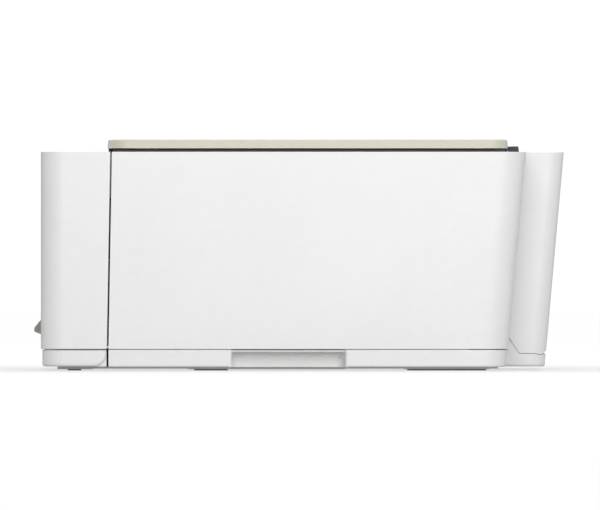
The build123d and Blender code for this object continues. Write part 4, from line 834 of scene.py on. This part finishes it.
@dataclass(frozen=True)
class LeafScrews(Assembly):
    """Flat screw heads that hold the hinge leaves under the lid. Sizes in mm."""

    radius: float = 2.4
    height: float = 0.28
    recess: float = 1.1
    leaf_gap: float = 0.4
    leaf_x: float = 150.0
    margins: Span = (5.0, 13.0)

    def build(self, finishes: Finishes) -> None:
        """Model two screws on each leaf."""
        low, high = ends("lid_hinge_leaves")
        under = top("scanner_top_frame") + self.leaf_gap
        for side, x in (("left", -self.leaf_x), ("right", self.leaf_x)):
            screws = Piece(f"leaf_screws_{side}", SCREW, "lid")
            for y in (low.y + self.margins[0], high.y - self.margins[1]):
                self.head(screws, Vector((x, y, under)))
            screws.done(finishes)

    def head(self, screws: Piece, centre: Vector) -> None:
        """Add one head with a round recess, hanging down from the leaf."""
        r, h, inner = self.radius, -self.height, self.recess
        screws.turned([(0, 0.05), (r, 0.05), (r, h * 0.5), (r - 0.2, h), (inner, h),
                       (inner - 0.1, h * 0.2), (0, h * 0.1)], centre, 28)


@dataclass(frozen=True)
class PaperDrive(Assembly):
    """The rollers, gears and motors. Shaft and boss radii and the other sizes in mm."""

    shafts: tuple[tuple[str, float], ...] = (
        ("turn_roller", 4.0), ("pinch_rollers", 1.5), ("pick_roller", 2.0))
    geared: tuple[tuple[str, float], ...] = (("feed_roller", 4.0), ("exit_roller", 3.0))
    gear_gap: float = 0.3
    skin: float = 0.15
    pinion_bore: float = 1.65
    motor_boss: float = 4.2
    motor_reach: float = 60.0
    motor_cap: Span = (25.0, 60.0)

    def roller(self, node: str, shaft: float, gear: float = OPEN_HIGH) -> Moulded:
        """A rubber-banded steel shaft.

        Args:
            node: The roller's node.
            shaft: The shaft's radius.
            gear: The X from which on the piece is a white gear.

        Returns:
            The finish.
        """
        centre = middle(node)
        return Moulded(f"{node}_finish", (0.02, 0.02, 0.021), roughness=0.72, worn=1.6, grain=0.3, zones=(
            Zone(GEAR, 0.38, x=(gear, 2 * OPEN_HIGH)),
            Zone(STEEL, 0.25, 1.0, axis="x", centre=(centre.y, centre.z),
                 radii=(OPEN_LOW, shaft + self.skin)),
        ))

    def finishes(self) -> NodeFinishes:
        """The rollers, the star wheels, the pinion and the three motors."""
        gear_x = ends("idler_gear")[0].x - self.gear_gap
        rollers = {node: self.roller(node, shaft, gear_x) for node, shaft in self.geared}
        rollers |= {node: self.roller(node, shaft) for node, shaft in self.shafts}
        motor, rail = middle("motor_pinion"), middle("drive_pulley")
        shaft = {"axis": "x", "centre": (motor.y, motor.z)}
        cap = tuple(rail.y + reach for reach in self.motor_cap)
        reach = middle("feed_roller").x + self.motor_reach
        return rollers | {
            "star_wheels": Moulded("star_steel", STEEL, roughness=0.26, metallic=1.0, grain_depth=0.004),
            "motor_pinion": Moulded("motor_pinion_finish", BRASS, roughness=0.3, metallic=1.0, zones=(
                Zone(STEEL, 0.22, 1.0, radii=(OPEN_LOW, self.pinion_bore), **shaft),)),
            "drive_motors": Moulded("motor_can", (0.55, 0.55, 0.56), roughness=0.33, metallic=0.95, zones=(
                Zone(BLACK, 0.5, y=cap),
                Zone(BLACK, 0.5, x=(0.0, reach), radii=(OPEN_LOW, self.motor_boss), **shaft))),
        }


@dataclass(frozen=True)
class InkSupply(Assembly):
    """The two cartridges: gilt contact plates, and coloured bands on their fronts. Sizes in mm."""

    bands: tuple[tuple[float, Colour], ...] = (
        (-12.5, (0.01, 0.30, 0.55)), (-3.75, (0.60, 0.02, 0.18)), (5.0, (0.78, 0.62, 0.02)))
    band_width: float = 7.5
    band_height: float = 13.0
    label_half: float = 12.5
    plate: float = 1.2

    def finishes(self) -> NodeFinishes:
        """The black and the colour cartridge."""
        black, colour = middle("ink_cartridge_black").x, middle("ink_cartridge_color").x
        ink_top = top("ink_cartridge_color")
        rows = (ink_top - self.band_height, ink_top + 1.0)
        plate = Zone(BRASS, 0.35, 0.9, z=(0.0, ends("ink_cartridge_color")[0].z + self.plate))
        label = Zone((0.30, 0.30, 0.31), 0.35, x=(black - self.label_half, black + self.label_half), z=rows)
        bands = tuple(Zone(tone, 0.35, x=(colour + low, colour + low + self.band_width), z=rows)
                      for low, tone in self.bands)
        return {
            "ink_cartridge_black": Moulded("ink_black_finish", (0.018, 0.018, 0.02), roughness=0.38,
                                           worn=2.0, zones=(plate, label)),
            "ink_cartridge_color": Moulded("ink_color_finish", (0.05, 0.055, 0.065), roughness=0.38,
                                           worn=1.8, zones=(plate, *bands)),
        }


@dataclass(frozen=True)
class Electronics(Assembly):
    """The boards and the two sockets at the back. Places are X and Z, sizes in mm."""

    inlet: Span = (-165.0, 32.6)
    port: Span = (-195.0, 65.7)
    pin_shift: float = 4.0
    pin_radius: float = 1.35
    port_width: float = 12.0
    port_half: float = 6.0
    tongue: tuple[float, float, float] = (3.3, 8.7, 1.65)
    skin: float = 0.1
    ring_height: float = 60.0
    ring: Span = (24.0, 24.8)
    deck_board: float = 6.95
    shield_drop: float = 20.0
    shield_reach: float = 30.0

    def finishes(self) -> NodeFinishes:
        """The boards and the rear sockets."""
        return {"circuit_boards": self.boards(), "rear_sockets": self.sockets()}

    def boards(self) -> Moulded:
        """Green boards with a gilt trace, black chips and a steel shield."""
        deck, port_x = top("control_deck"), self.port[0]
        return Moulded("circuit_finish", (0.008, 0.10, 0.032), roughness=0.3, zones=(
            Zone((0.55, 0.42, 0.12), 0.3, 0.9, axis="x",
                 centre=(middle("circuit_boards").y, self.ring_height), radii=self.ring),
            Zone((0.035, 0.035, 0.038), 0.45, z=(deck - self.deck_board, deck)),
            Zone(STEEL, 0.3, 1.0, x=(port_x + self.skin, port_x + self.shield_reach),
                 z=(0.0, deck - self.shield_drop)),
            Zone((0.03, 0.03, 0.03), 0.4, x=(-250.0, port_x - 1.7)),
        ))

    def sockets(self) -> Moulded:
        """Black housings with steel pins, and a steel shell round a white tongue."""
        (inlet_x, inlet_z), (port_x, port_z) = self.inlet, self.port
        first, last, thick = self.tongue
        pins = tuple(Zone(STEEL, 0.24, 1.0, axis="y", centre=(inlet_x + shift, inlet_z),
                          radii=(OPEN_LOW, self.pin_radius))
                     for shift in (-self.pin_shift, self.pin_shift))
        reach = self.port_half + self.skin
        return Moulded("socket_finish", (0.022, 0.022, 0.024), roughness=0.42, worn=1.8, zones=(
            *pins,
            Zone((0.66, 0.66, 0.67), 0.28, 1.0, z=(port_z - reach, port_z + reach),
                 x=(port_x - self.skin, port_x + self.port_width + self.skin)),
            Zone((0.80, 0.80, 0.78), 0.4, 0.0, x=(port_x + first, port_x + last),
                 z=(port_z - thick, port_z + thick)),
        ))


@dataclass(frozen=True)
class SoftBox:
    """A square soft light that faces the machine."""

    name: str
    place: Colour
    size: float
    power: float
    aim: Colour = (0.0, 0.0, 0.08)

    def hang(self) -> None:
        """Add the light to the scene."""
        data = bpy.data.lights.new(self.name, "AREA")
        data.shape, data.size, data.energy = "SQUARE", self.size, self.power
        lamp = bpy.data.objects.new(self.name, data)
        lamp.location = self.place
        lamp.rotation_mode = "QUATERNION"
        lamp.rotation_quaternion = (Vector(self.aim) - Vector(self.place)).to_track_quat("-Z", "Y")
        lamp.visible_camera = False
        bpy.context.scene.collection.objects.link(lamp)


@dataclass
class Studio:
    """Pale floor, soft light and the camera at the machine's right side."""

    lens: float = 1200.0
    pixel: float = 0.682
    frame_width: int = 600
    sensor: float = 36.0
    aim: Colour = (0.0, 0.0012, 0.079)
    floor_half: float = 14.0
    floor_gap: float = 0.0002
    soft_light: float = 0.22
    backdrop: float = 1.05
    soft_boxes: tuple[SoftBox, ...] = (
        SoftBox("key", (1.35, 0.17, 0.60), 1.0, 11.8),
        SoftBox("front_fill", (-0.7, -2.2, 1.1), 1.6, 15.0),
        SoftBox("rear_fill", (-0.9, 2.2, 1.1), 1.6, 13.0),
        SoftBox("top", (0.0, 0.0, 2.4), 1.8, 22.0),
        SoftBox("far_fill", (-2.4, 0.0, 1.0), 1.6, 15.0),
    )

    def build(self) -> None:
        """Make the floor, the light and the camera."""
        self.floor()
        self.world()
        self.lamps()
        self.camera()
        log.info("built the studio")

    def floor(self) -> None:
        """Lay the pale floor; the glow that the camera sees is dimmer near the machine, a painted shade
        round it.
        """
        bm = bmesh.new()
        bmesh.ops.create_grid(bm, x_segments=1, y_segments=1, size=self.floor_half)
        bmesh.ops.translate(bm, vec=(0, 0, -self.floor_gap), verts=bm.verts)
        mesh = bpy.data.meshes.new("floor")
        bm.to_mesh(mesh)
        bm.free()
        plane = bpy.data.objects.new("floor", mesh)
        bpy.context.scene.collection.objects.link(plane)
        tree = Tree.material("floor_paper")
        x, y, _ = tree.axes
        reach = (x * x + y * y) ** 0.5
        seen = tree.term("ShaderNodeLightPath", output="Is Camera Ray")
        # Painted shade: the camera sees the floor's glow dimmer close to the machine, rising from 150 mm to
        # 1.5 m out.
        glow_with_painted_shade = tree.mix((0.60, 0.60, 0.60), (0.92, 0.92, 0.92), reach.step(150.0, 1500.0))
        glow_with_painted_shade = tree.mix((0.24, 0.24, 0.24), glow_with_painted_shade, seen)
        base = tree.mix((0.23, 0.23, 0.23), (0.26, 0.26, 0.26), tree.noise(30.0, 3.0))
        mesh.materials.append(tree.finish(Base_Color=base, Roughness=0.9, Emission_Color=glow_with_painted_shade,
                                          Emission_Strength=1.0))

    def world(self) -> None:
        """Even light all round, white behind the machine."""
        world = bpy.data.worlds.new("studio")
        bpy.context.scene.world = world
        tree = Tree(world)
        soft = tree.term("ShaderNodeBackground", None, {
            "Strength": self.soft_light, "Color": (0.97, 0.985, 1.0, 1.0)})
        white = tree.term("ShaderNodeBackground", None, {
            "Strength": self.backdrop, "Color": (1.0, 1.0, 1.0, 1.0)})
        seen = tree.term("ShaderNodeLightPath", output="Is Camera Ray")
        both = tree.term("ShaderNodeMixShader", None, {"Fac": seen, "Shader": soft, "Shader_001": white})
        tree.node("ShaderNodeOutputWorld", None, {"Surface": both})

    def lamps(self) -> None:
        """Hang the soft boxes: the key on the camera's side, fills in front, behind and above."""
        for soft_box in self.soft_boxes:
            soft_box.hang()

    def camera(self) -> None:
        """Stand the camera level at the right side, far away with a long lens."""
        data = bpy.data.cameras.new("camera")
        data.lens, data.sensor_width = self.lens, self.sensor
        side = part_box("outer_casing")[1].x
        away = self.lens * self.pixel * self.frame_width / self.sensor * MM
        data.clip_start, data.clip_end = 1.0, 100.0
        cam = bpy.data.objects.new("camera", data)
        aim = Vector(self.aim)
        cam.location = aim + Vector((side + away, 0, 0))
        cam.rotation_mode = "QUATERNION"
        cam.rotation_quaternion = Vector((-1, 0, 0)).to_track_quat("-Z", "Y")
        bpy.context.scene.collection.objects.link(cam)
        bpy.context.scene.camera = cam
        settings = bpy.context.scene.view_settings
        settings.view_transform, settings.look = "Standard", "None"


def main() -> None:
    """Dress the frame, add the detail pieces and set the studio."""
    logging.basicConfig(level=logging.INFO, format="%(name)s: %(message)s")
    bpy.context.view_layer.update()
    assemblies = (BackingPad(), ControlPanel(), ScannerTop(), LeafScrews(), PaperDrive(), InkSupply(),
                  Electronics())
    own = {node: finish for assembly in assemblies for node, finish in assembly.finishes().items()}
    finishes = Finishes()
    finishes.dress_frame(own)
    for assembly in assemblies:
        assembly.build(finishes)
        log.info("finished %s", type(assembly).__name__)
    Studio().build()


if __name__ == "__main__":
    main()
